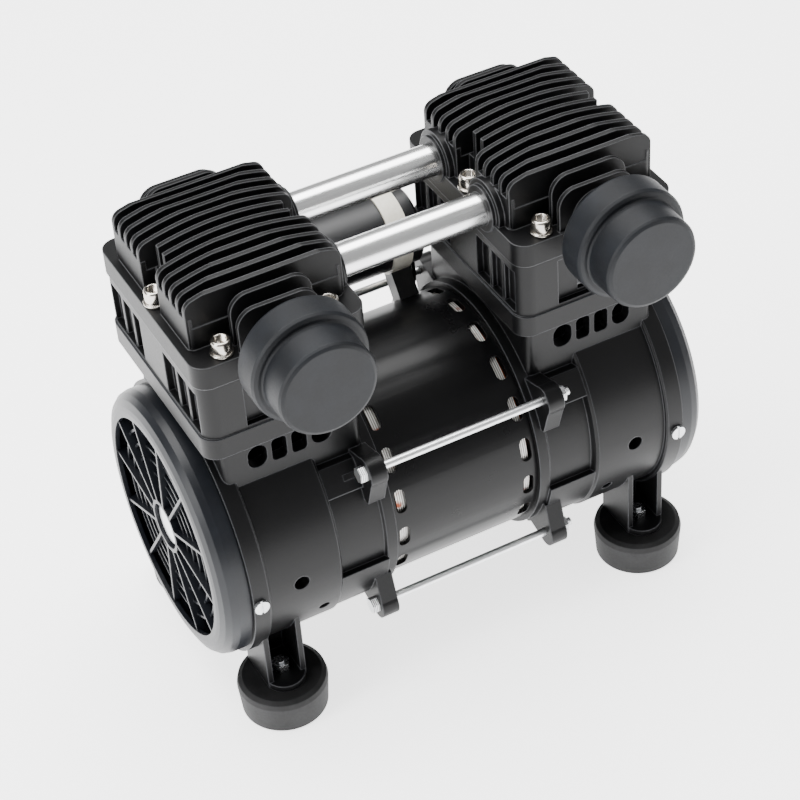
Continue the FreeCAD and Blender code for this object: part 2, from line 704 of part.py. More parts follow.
# two low fins stand across the port's boss at the front, and two at the rear
collars = []
for face, sign in (("front", -1), ("rear", 1)):
    for number, (reach, top) in enumerate(((45.5, "collar_near_top"), (52.3, "collar_far_top"))):
        middle = f"tower_y + {sign * reach}"
        collars.append(slab(
            f"collar_{face}_{number}",
            ("unit_x - collar_half", f"{middle} - fin_thick / 2", "head_top - 40"),
            ("unit_x + collar_half", f"{middle} + fin_thick / 2", top),
            "9", "XZ_Plane"))
collar_trim = box(
    "collar_trim",
    ("unit_x - 30", f"{tower_low_y} - 5", "head_top - 60"),
    ("unit_x + 30", f"{tower_high_y} + 5", "head_top - 1"))
collar_set = cut("head_collars", fuse("head_collars_whole", collars), [collar_trim])
port_bosses = [
    rod("port_boss_front", "port_boss", "port_reach - block_half_y + 3",
        ("unit_x", "tower_y - port_reach", "port_height"), "Y"),
    rod("port_boss_rear", "port_boss", "outlet_reach - block_half_y + 2",
        ("unit_x", "tower_y + block_half_y - 2", "port_height"), "Y"),
]
sockets = []
for name, y in (("front", "tube_front_y"), ("rear", "tube_rear_y")):
    sockets.append(rod(
        f"socket_{name}", "socket_radius", "10", ("socket_face + 2", y, "tube_height"), "X"))
    sockets.append(rod(
        f"socket_lip_{name}", "socket_radius - 2.5", "10", ("socket_face", y, "tube_height"), "X"))

notches = [
    box("notch_inner",
        ("unit_x - block_half_x - 1", "tower_y - notch_half", "head_top"),
        ("unit_x - block_half_x + notch_deep", "tower_y + notch_half", "crest_top + 5")),
    box("notch_outer",
        ("unit_x + block_half_x - notch_deep", "tower_y - notch_half", "head_top"),
        ("unit_x + block_half_x + 1", "tower_y + notch_half", "crest_top + 5")),
]
head_solid = fuse("head_solid", [cut("head_notched", fuse("head_body", [flange, solid_block, finned]), notches),
                                 collar_set] + port_bosses + sockets)
head_cuts = []
for name, low, high in CHAMBERS:
    head_cuts.append(box(
        f"{name}_chamber",
        ("unit_x - 26", low, "tower_top"),
        ("unit_x + 26", high, "chamber_roof")))
head_cuts.append(rod(
    "intake_port", "intake_radius", "40", ("unit_x", "tower_y - port_reach - 2", "port_height"), "Y"))
head_cuts.append(rod(
    "outlet_port", "port_radius", "40", ("unit_x", "tower_y + port_reach + 2 - 40", "port_height"), "Y"))
for name, y in (("front", "tube_front_y"), ("rear", "tube_rear_y")):
    head_cuts.append(rod(
        f"tube_seat_{name}", "tube_radius + 0.05", "tube_half + 0.2 - socket_face + 2",
        ("socket_face - 2", y, "tube_height"), "X"))
    head_cuts.append(rod(
        f"tube_passage_{name}", "tube_radius - 2", "16", ("tube_half - 1", y, "tube_height"), "X"))
    head_cuts.append(rod(
        f"seal_groove_{name}", "tube_radius + 1.6", "2.4", ("tube_half - 4", y, "tube_height"), "X"))
for number, (across, along) in enumerate(screw_places):
    head_cuts.append(rod(
        f"head_hole_{number}", "screw_radius + 0.2", "16", (across, along, "tower_top - 1")))
keep_pair("head", cut("right_head", head_solid, head_cuts))

# a strip above each discharge reed limits how far it lifts
stop_strip = box("stop_strip", ("0", "-reed_half", "0"), ("27", "reed_half", "1"))
stop_strip.setExpression("Placement.Base.x", None)
stop_strip.setExpression("Placement.Base.y", None)
stop_strip.setExpression("Placement.Base.z", None)
stop_strip.Placement = Placement(
    Vector(value("reed_root - 1.5"), value("discharge_y - reed_half"), value("tower_top") + 1.2),
    Rotation(Vector(0, 1, 0), -11))
stop_root = box(
    "stop_root",
    ("reed_root - 6", "discharge_y - reed_half", "tower_top"),
    ("reed_root - 0.6", "discharge_y + reed_half", "tower_top + 2.6"))
stop_right = fuse("stop_right", [stop_strip, stop_root])
keep("discharge_stops", group("discharge_stops", [stop_right, mirrored("stop_left", stop_right)]))

# ---- head screws and washers ---------------------------------------------------------------
screws = []
washers = []
for number, (across, along) in enumerate(screw_places):
    shank = rod(f"shank_{number}", "screw_radius", "29", (across, along, "head_top + washer_thick - 29"))
    cap = rounded(
        f"cap_rounded_{number}",
        rod(f"cap_{number}", "screw_head_radius", "screw_head_tall", (across, along, "head_top + washer_thick")),
        "0.7", lambda edge: edge.BoundBox.ZMin > value("head_top + washer_thick + screw_head_tall") - 0.01)
    key = hexagon(f"key_{number}", "2.9", "5", (across, along, "head_top + washer_thick + screw_head_tall - 3.5"))
    screws.append(cut(f"screw_{number}", fuse(f"screw_blank_{number}", [shank, cap]), [key]))
    ring = rod(f"washer_blank_{number}", "washer_radius", "washer_thick", (across, along, "head_top"))
    hole = rod(f"washer_hole_{number}", "screw_radius + 0.2", "5", (across, along, "head_top - 1"))
    washers.append(cut(f"washer_{number}", ring, [hole]))
screw_set = group("screw_set_right", screws)
washer_set = group("washer_set_right", washers)
keep("head_screws", group("head_screws", [screw_set, mirrored("screw_set_left", screw_set)]))
keep("head_washers", group("head_washers", [washer_set, mirrored("washer_set_left", washer_set)]))

# ---- crossover tubes -------------------------------------------------------------------------
seals = []
for name, y in (("front", "tube_front_y"), ("rear", "tube_rear_y")):
    keep(f"{name}_crossover_tube", lathe(
        f"{name}_crossover_tube",
        [
            ("tube_radius - 1.5", "-tube_half"),
            ("tube_radius", "-tube_half"),
            ("tube_radius", "tube_half"),
            ("tube_radius - 1.5", "tube_half"),
        ],
        ("0", y, "tube_height"), "X"))
    seal = lathe(
        f"seal_{name}",
        [
            ("tube_radius + 0.02", "0.1"),
            ("tube_radius + 1.55", "0.1"),
            ("tube_radius + 1.55", "2.3"),
            ("tube_radius + 0.02", "2.3"),
        ],
        ("tube_half - 4", y, "tube_height"), "X")
    seals += [seal, mirrored(f"seal_{name}_left", seal)]
keep("tube_seals", group("tube_seals", seals))

# ---- intake mufflers ---------------------------------------------------------------------------
muffler_at = ("unit_x", "0", "port_height")
keep_pair("muffler_base", lathe(
    "right_muffler_base",
    [
        ("3.5", "port_reach - tower_y - 8"),
        ("intake_radius - 0.05", "port_reach - tower_y - 8"),
        ("intake_radius - 0.05", "port_reach - tower_y"),
        ("14", "port_reach - tower_y"),
        ("16", "muffler_back"),
        ("muffler_ring - muffler_wall - 0.1", "muffler_back"),
        ("muffler_ring - muffler_wall - 0.1", "muffler_back + 5"),
        ("muffler_ring - muffler_wall - 2.5", "muffler_back + 5"),
        ("muffler_ring - muffler_wall - 2.5", "muffler_back + 2.5"),
        ("3.5", "muffler_back + 2.5"),
    ],
    muffler_at, "-Y"))
keep_pair("muffler_cap", lathe(
    "right_muffler_cap",
    [
        ("muffler_ring - muffler_wall", "muffler_back"),
        ("muffler_ring - 1", "muffler_back"),
        ("muffler_ring", "muffler_back + 1.5"),
        ("muffler_ring", "muffler_step - 2.2"),
        ("muffler_ring - 0.8", "muffler_step - 0.6"),
        ("muffler_ring - 2.4", "muffler_step"),
        ("muffler_cap + 0.6", "muffler_step"),
        ("muffler_cap", "muffler_step + 0.8"),
        ("muffler_cap - 0.3", "muffler_front - 2"),
        ("muffler_cap - 1", "muffler_front - 0.6"),
        ("muffler_cap - 2.4", "muffler_front"),
        ("0", "muffler_front"),
        ("0", "muffler_front - muffler_wall"),
        ("muffler_cap - muffler_wall - 1", "muffler_front - muffler_wall"),
        ("muffler_cap - muffler_wall", "muffler_step - muffler_wall"),
        ("muffler_ring - muffler_wall", "muffler_step - muffler_wall"),
    ],
    muffler_at, "-Y"))
keep_pair("filter_element", lathe(
    "right_filter_element",
    [
        ("9", "muffler_back + 2.7"),
        ("20", "muffler_back + 2.7"),
        ("20", "muffler_front - muffler_wall - 0.2"),
        ("9", "muffler_front - muffler_wall - 0.2"),
    ],
    muffler_at, "-Y"))

# the left-hand head's rear port is shut with a plug
plug_head = hexagon(
    "plug_head", "9", "5", ("-unit_x", "tower_y + outlet_reach", "port_height"), "Y")
plug_shank = rod(
    "plug_shank", "port_radius - 0.05", "11", ("-unit_x", "tower_y + outlet_reach - 10", "port_height"), "Y")
keep("rear_port_plug", fuse("rear_port_plug", [plug_head, plug_shank]))

# ---- crank, rod and piston ------------------------------------------------------------------------
def crank_web(name, start, length):
    """A round web with a half-disc weight on the side away from the crankpin."""
    disc = rod(f"{name}_disc", "web_radius", length, (start, "0", "axis_height"), "X")
    whole = rod(f"{name}_whole", "weight_radius", length, (start, "0", "axis_height"), "X")
    keep_half = box(
        f"{name}_half",
        (f"{start} - 1", "-weight_radius - 1", "axis_height - weight_radius - 1"),
        (f"{start} + {length} + 1", "-2", "axis_height + weight_radius + 1"))
    return fuse(name, [disc, common(f"{name}_weight", whole, keep_half)])


crank_solid = fuse("crank_solid", [
    crank_web("inner_web", "boss_end + 0.6", "4"),
    rod("crankpin", "pin_radius", "10.8", ("boss_end + 4.6", "throw", "axis_height"), "X"),
    crank_web("outer_web", "boss_end + 15.4", "3.6"),
    rod("fan_spindle", "spindle_radius", "fan_end - boss_end - 15.4", ("boss_end + 15.4", "0", "axis_height"), "X"),
])
right_crank = cut("right_crank", crank_solid, [
    rod("crank_bore", "journal_radius + 0.05", "2.9", ("boss_end - 0.4", "0", "axis_height"), "X")])
keep("right_crank", right_crank)
# the left-hand crank is half a turn round from the right, so that the pistons balance
left_crank = turned_copy("left_crank", right_crank, 180, Vector(0, 0, 1), ("0", "0", "0"))
keep("left_crank", left_crank)

piston_solid = fuse("piston_solid", [
    rod("big_end", "big_end_radius", "rod_wide", ("rod_start", "0", "axis_height"), "X"),
    box("connecting_rod",
        ("rod_start", "-7", "axis_height + big_end_radius - 3"),
        ("rod_start + rod_wide", "7", "piston_low + 1")),
    rod("piston_disc", "piston_radius", "5", ("unit_x", "0", "piston_low")),
])
keep_pair("piston_rod", cut("right_piston_rod", piston_solid, [
    rod("big_end_bore", "ring_outer + 0.02", "rod_wide + 4", ("rod_start - 2", "0", "axis_height"), "X"),
    rod("cap_thread", "1.95", "8", ("unit_x", "0", "piston_low - 1")),
]))
keep_pair("rod_bearing_ring", lathe(
    "right_rod_bearing_ring",
    [
        ("ring_bore", "0"),
        ("ring_outer", "0"),
        ("ring_outer", "rod_wide"),
        ("ring_bore", "rod_wide"),
    ],
    ("rod_start", "0", "axis_height"), "X"))
keep_pair("piston_cup_seal", lathe(
    "right_piston_cup_seal",
    [
        ("4", "piston_low + 5"),
        ("bore_radius - 0.1", "piston_low + 5"),
        ("bore_radius - 0.1", "piston_low + 10"),
        ("bore_radius - 1", "piston_low + 10"),
        ("bore_radius - 1", "piston_low + 6"),
        ("4", "piston_low + 6"),
    ],
    ("unit_x", "0", "0")))
keep_pair("piston_cap", fuse("right_piston_cap", [
    rod("cap_disc", "bore_radius - 2.5", "3", ("unit_x", "0", "piston_low + 6")),
    rod("cap_head", "5", "1", ("unit_x", "0", "piston_low + 9")),
    rod("cap_stem", "1.9", "10", ("unit_x", "0", "piston_low - 1")),
]))

# ---- cooling fan and its cover ----------------------------------------------------------------------
blades = []
blade_total = int(value("blade_count"))
for number in range(blade_total):
    blade = box(
        f"blade_{number}",
        ("-8", "fan_hub - 1", "-0.9"),
        ("8", "fan_radius", "0.9"))
    for axis in "xyz":
        blade.setExpression(f"Placement.Base.{axis}", None)
    pitch = Rotation(Vector(0, 1, 0), 52)
    spin = Rotation(Vector(1, 0, 0), 360 / blade_total * number + 11)
    corner = Vector(-8, value("fan_hub - 1"), -0.9)
    blade.Placement = Placement(
        Vector((value("fan_start") + value("fan_end")) / 2, 0, value("axis_height"))
        + spin.multiply(pitch).multVec(corner), spin.multiply(pitch))
    blades.append(blade)
fan_limit = rod("fan_limit", "fan_radius", "fan_end - fan_start", ("fan_start", "0", "axis_height"), "X")
fan_solid = fuse("fan_solid", [
    rod("fan_hub", "fan_hub", "fan_end - fan_start", ("fan_start", "0", "axis_height"), "X"),
    common("fan_blades", fuse("fan_blades_whole", blades), fan_limit),
])
keep_pair("fan", cut("right_fan", fan_solid, [
    rod("fan_bore", "spindle_radius + 0.03", "30", ("fan_start - 5", "0", "axis_height"), "X")]))

cover_shell = lathe(
    "cover_shell",
    [
        ("chamber_radius - 2.8", "rim_end - 6.5"),
        ("chamber_radius - 0.1", "rim_end - 6.5"),
        ("chamber_radius - 0.1", "rim_end"),
        ("cover_radius", "rim_end"),
        ("cover_radius", "cover_end - 8"),
        ("cover_radius - 0.9", "cover_end - 4.4"),
        ("cover_radius - 3.2", "cover_end - 1.8"),
        ("cover_radius - 6.5", "cover_end - 0.4"),
        ("cover_radius - 9", "cover_end"),
        ("grille_radius", "cover_end"),
        ("grille_radius", "cover_end - cover_wall"),
        ("cover_radius - 8", "cover_end - cover_wall - 0.4"),
        ("cover_radius - 3.6", "cover_end - cover_wall - 3.4"),
        ("cover_radius - 2.6", "cover_end - cover_wall - 6"),
        ("cover_radius - 2.6", "rim_end + 2.5"),
        ("chamber_radius - 2.8", "rim_end + 2.5"),
    ],
    ("0", "0", "axis_height"), "X")
grille = [lathe(
    "grille_boss",
    [
        ("0", "cover_end - 5.2"),
        ("grille_hub", "cover_end - 5.2"),
        ("grille_hub", "cover_end - 0.8"),
        ("grille_hub - 2", "cover_end - 0.8"),
        ("grille_hub - 2", "cover_end - 3.2"),
        ("0", "cover_end - 3.2"),
    ],
    ("0", "0", "axis_height"), "X")]
spoke_total = int(value("spoke_count"))
for number in range(spoke_total):
    spoke = box(
        f"spoke_{number}",
        ("cover_end - 5.5", "grille_hub - 1.5", "-0.75"),
        ("cover_end - 0.8", "grille_radius + 1", "0.75"))
    spoke_turned = turned_copy(f"spoke_turned_{number}", spoke, 360 / spoke_total * number + 6, centre=("0", "0", "0"))
    bind(spoke_turned, "Placement.Base.z", "axis_height")
    grille.append(spoke_turned)
for number, radius in enumerate((20, 27, 34, 41, 48)):
    grille.append(lathe(
        f"grille_ring_{number}",
        [
            (f"{radius} - 0.65", "cover_end - 6"),
            (f"{radius} + 0.65", "cover_end - 6"),
            (f"{radius} + 0.65", "cover_end - 3.4"),
            (f"{radius} - 0.65", "cover_end - 3.4"),
        ],
        ("0", "0", "axis_height"), "X"))
cover_solid = fuse("cover_solid", [cover_shell] + grille)
cover_holes = [
    radial_hole(f"lip_hole_{number}", 2.02, COVER_SCREW_X, angle, 8, value("chamber_radius") - 6)
    for number, angle in enumerate(COVER_SCREW_ANGLES)
]
keep_pair("fan_cover", cut("right_fan_cover", cover_solid, cover_holes))

cover_screws = []
for number, angle in enumerate(COVER_SCREW_ANGLES):
    shank = radial_hole(f"cover_shank_{number}", 1.95, COVER_SCREW_X, angle, 13, value("rim_radius") - 12.9)
    head = radial_hole(f"cover_head_{number}", 3.7, COVER_SCREW_X, angle, 1.8, value("rim_radius") + 0.05)
    slot_block = box(f"cover_slot_{number}", ("-0.5", "-5", "0"), ("0.5", "5", "2"))
    for axis in "xyz":
        slot_block.setExpression(f"Placement.Base.{axis}", None)
    direction = around_axis(1, angle)
    slot_turn = Rotation(Vector(0, 0, 1), direction)
    slot_block.Placement = Placement(
        Vector(COVER_SCREW_X, 0, value("axis_height")) + direction * (value("rim_radius") + 1.1)
        + slot_turn.multVec(Vector(-0.5, -5, 0)), slot_turn)
    cover_screws.append(cut(f"cover_screw_{number}", fuse(f"cover_screw_blank_{number}", [shank, head]), [slot_block]))
cover_screw_set = group("cover_screw_set", cover_screws)
keep("fan_cover_screws", group("fan_cover_screws", [cover_screw_set, mirrored("cover_screw_set_left", cover_screw_set)]))

# ---- through-bolts ---------------------------------------------------------------------------------
bolts = []
nuts = []
for side_y in (-1, 1):
    for side_z in (-1, 1):
        tag = f"{'front' if side_y < 0 else 'rear'}_{'low' if side_z < 0 else 'high'}"
        y = f"{side_y} * ear_y"
        z = f"axis_height + {side_z} * ear_rise"
        shank = rod(f"bolt_shank_{tag}", "bolt_radius", "2 * ear_end + 7", ("-ear_end - 1", y, z), "X")
        head = hexagon(f"bolt_head_{tag}", "nut_circle", "nut_tall", ("-ear_end - nut_tall", y, z), "X")
        bolts.append(fuse(f"bolt_{tag}", [shank, head]))
        nut = hexagon(f"nut_blank_{tag}", "nut_circle", "nut_tall", ("ear_end", y, z), "X")
        nut_hole = rod(f"nut_hole_{tag}", "bolt_radius + 0.05", "nut_tall + 2", ("ear_end - 1", y, z), "X")
        nuts.append(cut(f"nut_{tag}", nut, [nut_hole]))
keep("through_bolts", group("through_bolts", bolts))
keep("through_nuts", group("through_nuts", nuts))

# ---- feet ---------------------------------------------------------------------------------------------
studs = []
foot_nuts = []
for side_x, name_x in ((-1, "left"), (1, "right")):
    for side_y, name_y in ((-1, "front"), (1, "rear")):
        at = (f"{side_x} * foot_span_x / 2", f"{side_y} * foot_span_y / 2", "0")
        tag = f"{name_y}_{name_x}"
        keep(f"{tag}_foot", lathe(
            f"{tag}_foot",
            [
                ("5", "0"),
                ("foot_base_radius - 1", "0"),
                ("foot_base_radius", "1"),
                ("foot_top_radius", "foot_height - 4"),
                ("foot_top_radius - 0.7", "foot_height - 1.2"),
                ("foot_top_radius - 3", "foot_height"),
                ("stud_radius + 0.05", "foot_height"),
                ("stud_radius + 0.05", "insert_depth + 3"),
                ("5", "insert_depth + 3"),
            ],
            at))
        studs.append(lathe(
            f"stud_{tag}",
            [
                ("insert_radius", "0"),
                ("4.95", "0"),
                ("4.95", "insert_depth + 2.9"),
                ("stud_radius", "insert_depth + 2.9"),
                ("stud_radius", "foot_height + 9"),
                ("0", "foot_height + 9"),
                ("0", "insert_depth"),
                ("insert_radius", "insert_depth"),
            ],
            at))
        nut = hexagon(f"foot_nut_blank_{tag}", "4.6", "4", (at[0], at[1], "foot_height + 3.5"))
        nut_hole = rod(f"foot_nut_hole_{tag}", "stud_radius + 0.05", "8", (at[0], at[1], "foot_height + 2"))
        foot_nuts.append(cut(f"foot_nut_{tag}", nut, [nut_hole]))
keep("foot_studs", group("foot_studs", studs))
keep("foot_nuts", group("foot_nuts", foot_nuts))

# ---- run capacitor, its clip and its leads ------------------------------------------------------------
can_at = ("0", "can_y", "can_height")
keep("capacitor", lathe(
    "capacitor",
    [
        ("0", "-can_half"),
        ("can_radius - 1.5", "-can_half"),
        ("can_radius", "-can_half + 1.5"),
        ("can_radius", "can_half - 1.5"),
        ("can_radius - 1.5", "can_half"),
        ("0", "can_half"),
    ],
    can_at, "X"))
clip_band = lathe(
    "clip_band",
    [
        ("can_radius + 0.05", "clip_start"),
        ("can_radius + 1.2", "clip_start"),
        ("can_radius + 1.2", "clip_end"),
        ("can_radius + 0.05", "clip_end"),
    ],
    can_at, "X")
can_lean = math.degrees(math.atan2(value("can_height - axis_height"), value("can_y")))
can_distance = math.hypot(value("can_height - axis_height"), value("can_y"))
clip_post = box(
    "clip_post",
    ("clip_start", "shell_radius + 0.02", "-5"),
    ("clip_end", f"{can_distance:.3f} - can_radius - 0.3", "5"))
clip_post_turned = turned_copy("clip_post_turned", clip_post, can_lean, centre=("0", "0", "0"))
bind(clip_post_turned, "Placement.Base.z", "axis_height")
keep("capacitor_clip", fuse("capacitor_clip", [clip_band, clip_post_turned]))


def lead(points):
    """A round lead: straight runs joined by arcs that touch both runs."""
    edges = []
    start = points[0]
    for before, here, after in zip(points, points[1:], points[2:]):
        back = (before - here).normalize()
        ahead = (after - here).normalize()
        half_turn = (math.pi - back.getAngle(ahead)) / 2
        trim = 0.45 * min((before - here).Length, (after - here).Length)
        radius = trim / math.tan(half_turn)
        first = here + back * trim
        last = here + ahead * trim
        middle_way = (back + ahead).normalize()
        centre_gap = radius / math.cos(half_turn)
        middle = here + middle_way * (centre_gap - radius)
        edges.append(Part.LineSegment(start, first).toShape())
        edges.append(Part.Arc(first, middle, last).toShape())
        start = last
    edges.append(Part.LineSegment(start, points[-1]).toShape())
    path = Part.Wire(edges)
    direction = (points[1] - points[0]).normalize()
    ring = Part.Wire([Part.Circle(points[0], direction, value("lead_radius")).toShape()])
    return path.makePipeShell([ring], True, False)


# the leads come down behind the motor to a terminal block on its shell
block_lean = 27
block = box(
    "terminal_block_square",
    ("28.5", "shell_radius + 0.02", "-7"),
    ("38", "shell_radius + 8", "7"))
terminal_block = turned_copy("terminal_block", block, block_lean, centre=("0", "0", "0"))
bind(terminal_block, "Placement.Base.z", "axis_height")
lead_shapes = []
for number in range(3):
    x = 30.5 + 2 * number
    lead_shapes.append(lead([
        Vector(x, value("can_y") - 6, value("can_height - can_radius") + 0.7),
        Vector(x, value("can_y") - 7.4, 136.2),
        Vector(x, 55.2, 123.2),
    ]))
leads = doc.addObject("Part::Feature", "leads")
leads.Shape = Part.Compound(lead_shapes)
keep("capacitor_leads", fuse("capacitor_leads", [terminal_block, leads]))

# ---- check everything, then write the files --------------------------------------------------------------
doc.recompute()
faults = [
    f"{thing.Label}: {thing.State}" for thing in doc.Objects
    if "Invalid" in thing.State or "Error" in thing.State
]
for name, thing in NODES.items():
    shape = thing.Shape
    if shape.isNull() or not shape.isValid() or not shape.Solids:
        faults.append(f"{name}: no valid solid")
if faults:
    raise RuntimeError("the model has faults: " + "; ".join(faults))

os.makedirs("parts", exist_ok=True)
for name, thing in NODES.items():
    thing.Shape.exportStep(f"parts/{name}.step")
print(len(NODES), "nodes written")
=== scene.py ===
import math

import bmesh
import bpy
from mathutils import Matrix, Vector


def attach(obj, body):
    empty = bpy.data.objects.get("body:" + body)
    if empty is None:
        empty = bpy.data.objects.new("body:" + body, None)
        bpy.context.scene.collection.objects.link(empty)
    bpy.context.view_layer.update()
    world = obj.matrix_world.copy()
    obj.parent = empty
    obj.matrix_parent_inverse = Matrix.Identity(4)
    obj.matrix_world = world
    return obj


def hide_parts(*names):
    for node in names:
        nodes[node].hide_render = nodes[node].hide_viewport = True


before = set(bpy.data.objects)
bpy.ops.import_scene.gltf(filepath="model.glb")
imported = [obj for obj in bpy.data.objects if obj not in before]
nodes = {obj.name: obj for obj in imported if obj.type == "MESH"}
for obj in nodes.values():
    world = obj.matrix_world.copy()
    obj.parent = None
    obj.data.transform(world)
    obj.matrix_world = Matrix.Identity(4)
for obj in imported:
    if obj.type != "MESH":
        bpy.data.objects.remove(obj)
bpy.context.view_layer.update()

scene = bpy.context.scene

# ---- the table and the light --------------------------------------------------------
# A white table under a large soft box overhead, a tall strip on the left and a weaker
# one on the right, as for a catalogue picture of a black machine.


def linear(code):
    """An sRGB hex colour as the linear values that a shader takes."""
    parts = [int(code[i:i + 2], 16) / 255 for i in (1, 3, 5)]
    return [c / 12.92 if c <= 0.04045 else ((c + 0.055) / 1.055) ** 2.4 for c in parts] + [1.0]


def add(tree, kind, links=None, **settings):
    """Adds a node to a tree, sets its properties, and fills or links its inputs."""
    made = tree.nodes.new(kind)
    for name, value in settings.items():
        setattr(made, name, value)
    for socket, source in (links or {}).items():
        target = made.inputs[socket]
        if isinstance(source, bpy.types.NodeSocket):
            tree.links.new(source, target)
        else:
            target.default_value = source
    return made


def finish(name, **constants):
    """A new material with one Principled shader, its fixed numbers set on the shader itself."""
    material = bpy.data.materials.new(name)
    material.use_nodes = True
    tree = material.node_tree
    shader = tree.nodes["Principled BSDF"]
    for socket, value in constants.items():
        shader.inputs[socket.replace("_", " ")].default_value = value
    return material, tree, shader


def wear(material, *names):
    """Gives the whole of each named CAD node one finish."""
    for name in names:
        nodes[name].data.materials.clear()
        nodes[name].data.materials.append(material)


TABLE_WHITE = "#fbfbfc"
# the paper glows a little, as white paper lit from below does
TABLE_GLOW = 2.4
paper, tree, shader = finish("white_table_paper", Roughness=0.9, Emission_Strength=TABLE_GLOW)
shader.inputs["Emission Color"].default_value = (1, 1, 1, 1)
shader.inputs["Specular IOR Level"].default_value = 0.1
place = add(tree, "ShaderNodeTexCoord")
fibre = add(tree, "ShaderNodeTexNoise", {"Vector": place.outputs["Object"], "Scale": 90.0, "Detail": 4.0})
tone = add(tree, "ShaderNodeMix", {
    "Factor": fibre.outputs["Fac"], "A": linear(TABLE_WHITE), "B": linear("#ffffff")}, data_type="RGBA")
tree.links.new(tone.outputs["Result"], shader.inputs["Base Color"])

TABLE_HALF = 3.0
TABLE_TOP = -0.0001
table_mesh = bpy.data.meshes.new("table")
table_mesh.from_pydata(
    [(x * TABLE_HALF, y * TABLE_HALF, TABLE_TOP) for x, y in ((-1, -1), (1, -1), (1, 1), (-1, 1))],
    [], [(0, 1, 2, 3)])
table = bpy.data.objects.new("table", table_mesh)
table_mesh.materials.append(paper)
scene.collection.objects.link(table)

ROOM_LIGHT = 0.42
world = bpy.data.worlds.new("studio")
world.use_nodes = True
world.node_tree.nodes["Background"].inputs["Color"].default_value = (1, 1, 1, 1)
world.node_tree.nodes["Background"].inputs["Strength"].default_value = ROOM_LIGHT
scene.world = world

LOOK_AT = Vector((0, 0, 0.11))
# name, place, width, height, power
SOFT_BOXES = (
    ("overhead_box", (0.0, 0.35, 1.5), 1.7, 1.0, 52),
    ("left_strip", (-1.5, -0.2, 0.9), 0.6, 1.6, 27),
    ("right_strip", (1.3, -0.9, 0.9), 0.7, 1.3, 4),
)
for name, spot, width, height, power in SOFT_BOXES:
    lamp = bpy.data.lights.new(name, "AREA")
    lamp.shape = "RECTANGLE"
    lamp.size = width
    lamp.size_y = height
    lamp.energy = power
    holder = bpy.data.objects.new(name, lamp)
    holder.location = spot
    holder.rotation_euler = (LOOK_AT - Vector(spot)).to_track_quat("-Z", "Y").to_euler()
    scene.collection.objects.link(holder)

# The camera stands to the front left and looks well down, held a few degrees off level.
BEARING = math.radians(-25.45)
HEIGHT_ANGLE = math.radians(40.57)
TILT = math.radians(-4.44)
DISTANCE = 1.1401
LENS_LENGTH = 105.07
SHIFT = (-0.0044, -0.0042)
back = Vector((
    math.sin(BEARING) * math.cos(HEIGHT_ANGLE),
    -math.cos(BEARING) * math.cos(HEIGHT_ANGLE),
    math.sin(HEIGHT_ANGLE)))
right = (-back).cross(Vector((0, 0, 1))).normalized()
up = right.cross(-back)
tilted_right = math.cos(TILT) * right + math.sin(TILT) * up
tilted_up = -math.sin(TILT) * right + math.cos(TILT) * up
lens = bpy.data.cameras.new("camera")
lens.sensor_width = 36
lens.lens = LENS_LENGTH
lens.shift_x, lens.shift_y = SHIFT
camera = bpy.data.objects.new("camera", lens)
turn = Matrix((tilted_right, tilted_up, back)).transposed()
camera.matrix_world = Matrix.Translation(LOOK_AT + back * DISTANCE) @ turn.to_4x4()
scene.collection.objects.link(camera)
scene.camera = camera

# ---- crankcases and cylinder heads --------------------------------------------------
# Die-cast aluminium under a thin black powder coat. The coat leaves a fine sandy grain
# and a satin gleam; the paler lines along the edges are a painted highlight, where rounded edges catch the light.
EDGE_ROUND = 0.0009


def coated_casting(name, body_colour, edge_highlight_colour, roughness, grain_size, grain_depth):
    """Satin black coat over a casting, with a sandy grain of a given size in metres and a painted highlight along
    its edges.
    """
    material, tree, shader = finish(name)
    shader.inputs["Specular IOR Level"].default_value = 0.2
    place = add(tree, "ShaderNodeTexCoord")
    soft = add(tree, "ShaderNodeBevel", {"Radius": EDGE_ROUND}, samples=6)
    flat = add(tree, "ShaderNodeNewGeometry")
    bend = add(tree, "ShaderNodeVectorMath", {
        0: soft.outputs["Normal"], 1: flat.outputs["Normal"]}, operation="DOT_PRODUCT")
    # painted highlight: where the rounded edge turns away from the flat face, the colour is mixed towards a paler
    # grey
    painted_edge_highlight = add(tree, "ShaderNodeMapRange", {
        "Value": bend.outputs["Value"], "From Min": 0.995, "From Max": 0.86, "To Min": 0.0, "To Max": 1.0})
    cloud = add(tree, "ShaderNodeTexNoise", {"Vector": place.outputs["Object"], "Scale": 45.0, "Detail": 3.0})
    shade = add(tree, "ShaderNodeMix", {
        "Factor": cloud.outputs["Fac"], "A": linear(body_colour),
        "B": [c * 1.5 for c in linear(body_colour)[:3]] + [1.0]}, data_type="RGBA")
    edge_highlighted = add(tree, "ShaderNodeMix", {
        "Factor": painted_edge_highlight.outputs["Result"], "A": shade.outputs["Result"],
        "B": linear(edge_highlight_colour)}, data_type="RGBA")
    tree.links.new(edge_highlighted.outputs["Result"], shader.inputs["Base Color"])
    # grain: the real one is about 0.3 mm, drawn coarser so that it shows
    sand = add(tree, "ShaderNodeTexNoise", {
        "Vector": place.outputs["Object"], "Scale": 1 / grain_size, "Detail": 2.0, "Roughness": 0.6})
    rough = add(tree, "ShaderNodeMapRange", {
        "Value": sand.outputs["Fac"], "To Min": roughness - 0.05, "To Max": roughness + 0.09})
    tree.links.new(rough.outputs["Result"], shader.inputs["Roughness"])
    bumps = add(tree, "ShaderNodeBump", {
        "Height": sand.outputs["Fac"], "Strength": 0.35, "Distance": grain_depth,
        "Normal": soft.outputs["Normal"]})
    tree.links.new(bumps.outputs["Normal"], shader.inputs["Normal"])
    return material


# the second colour of each casting is its painted edge highlight
black_casting = coated_casting("powder_coated_cast_aluminium", "#0b0b0c", "#4c4d50", 0.36, 0.0008, 0.00012)
wear(black_casting, "right_crankcase", "left_crankcase")
head_casting = coated_casting("powder_coated_head_casting", "#080809", "#5c5d5f", 0.42, 0.0007, 0.0001)
wear(head_casting, "right_head", "left_head")

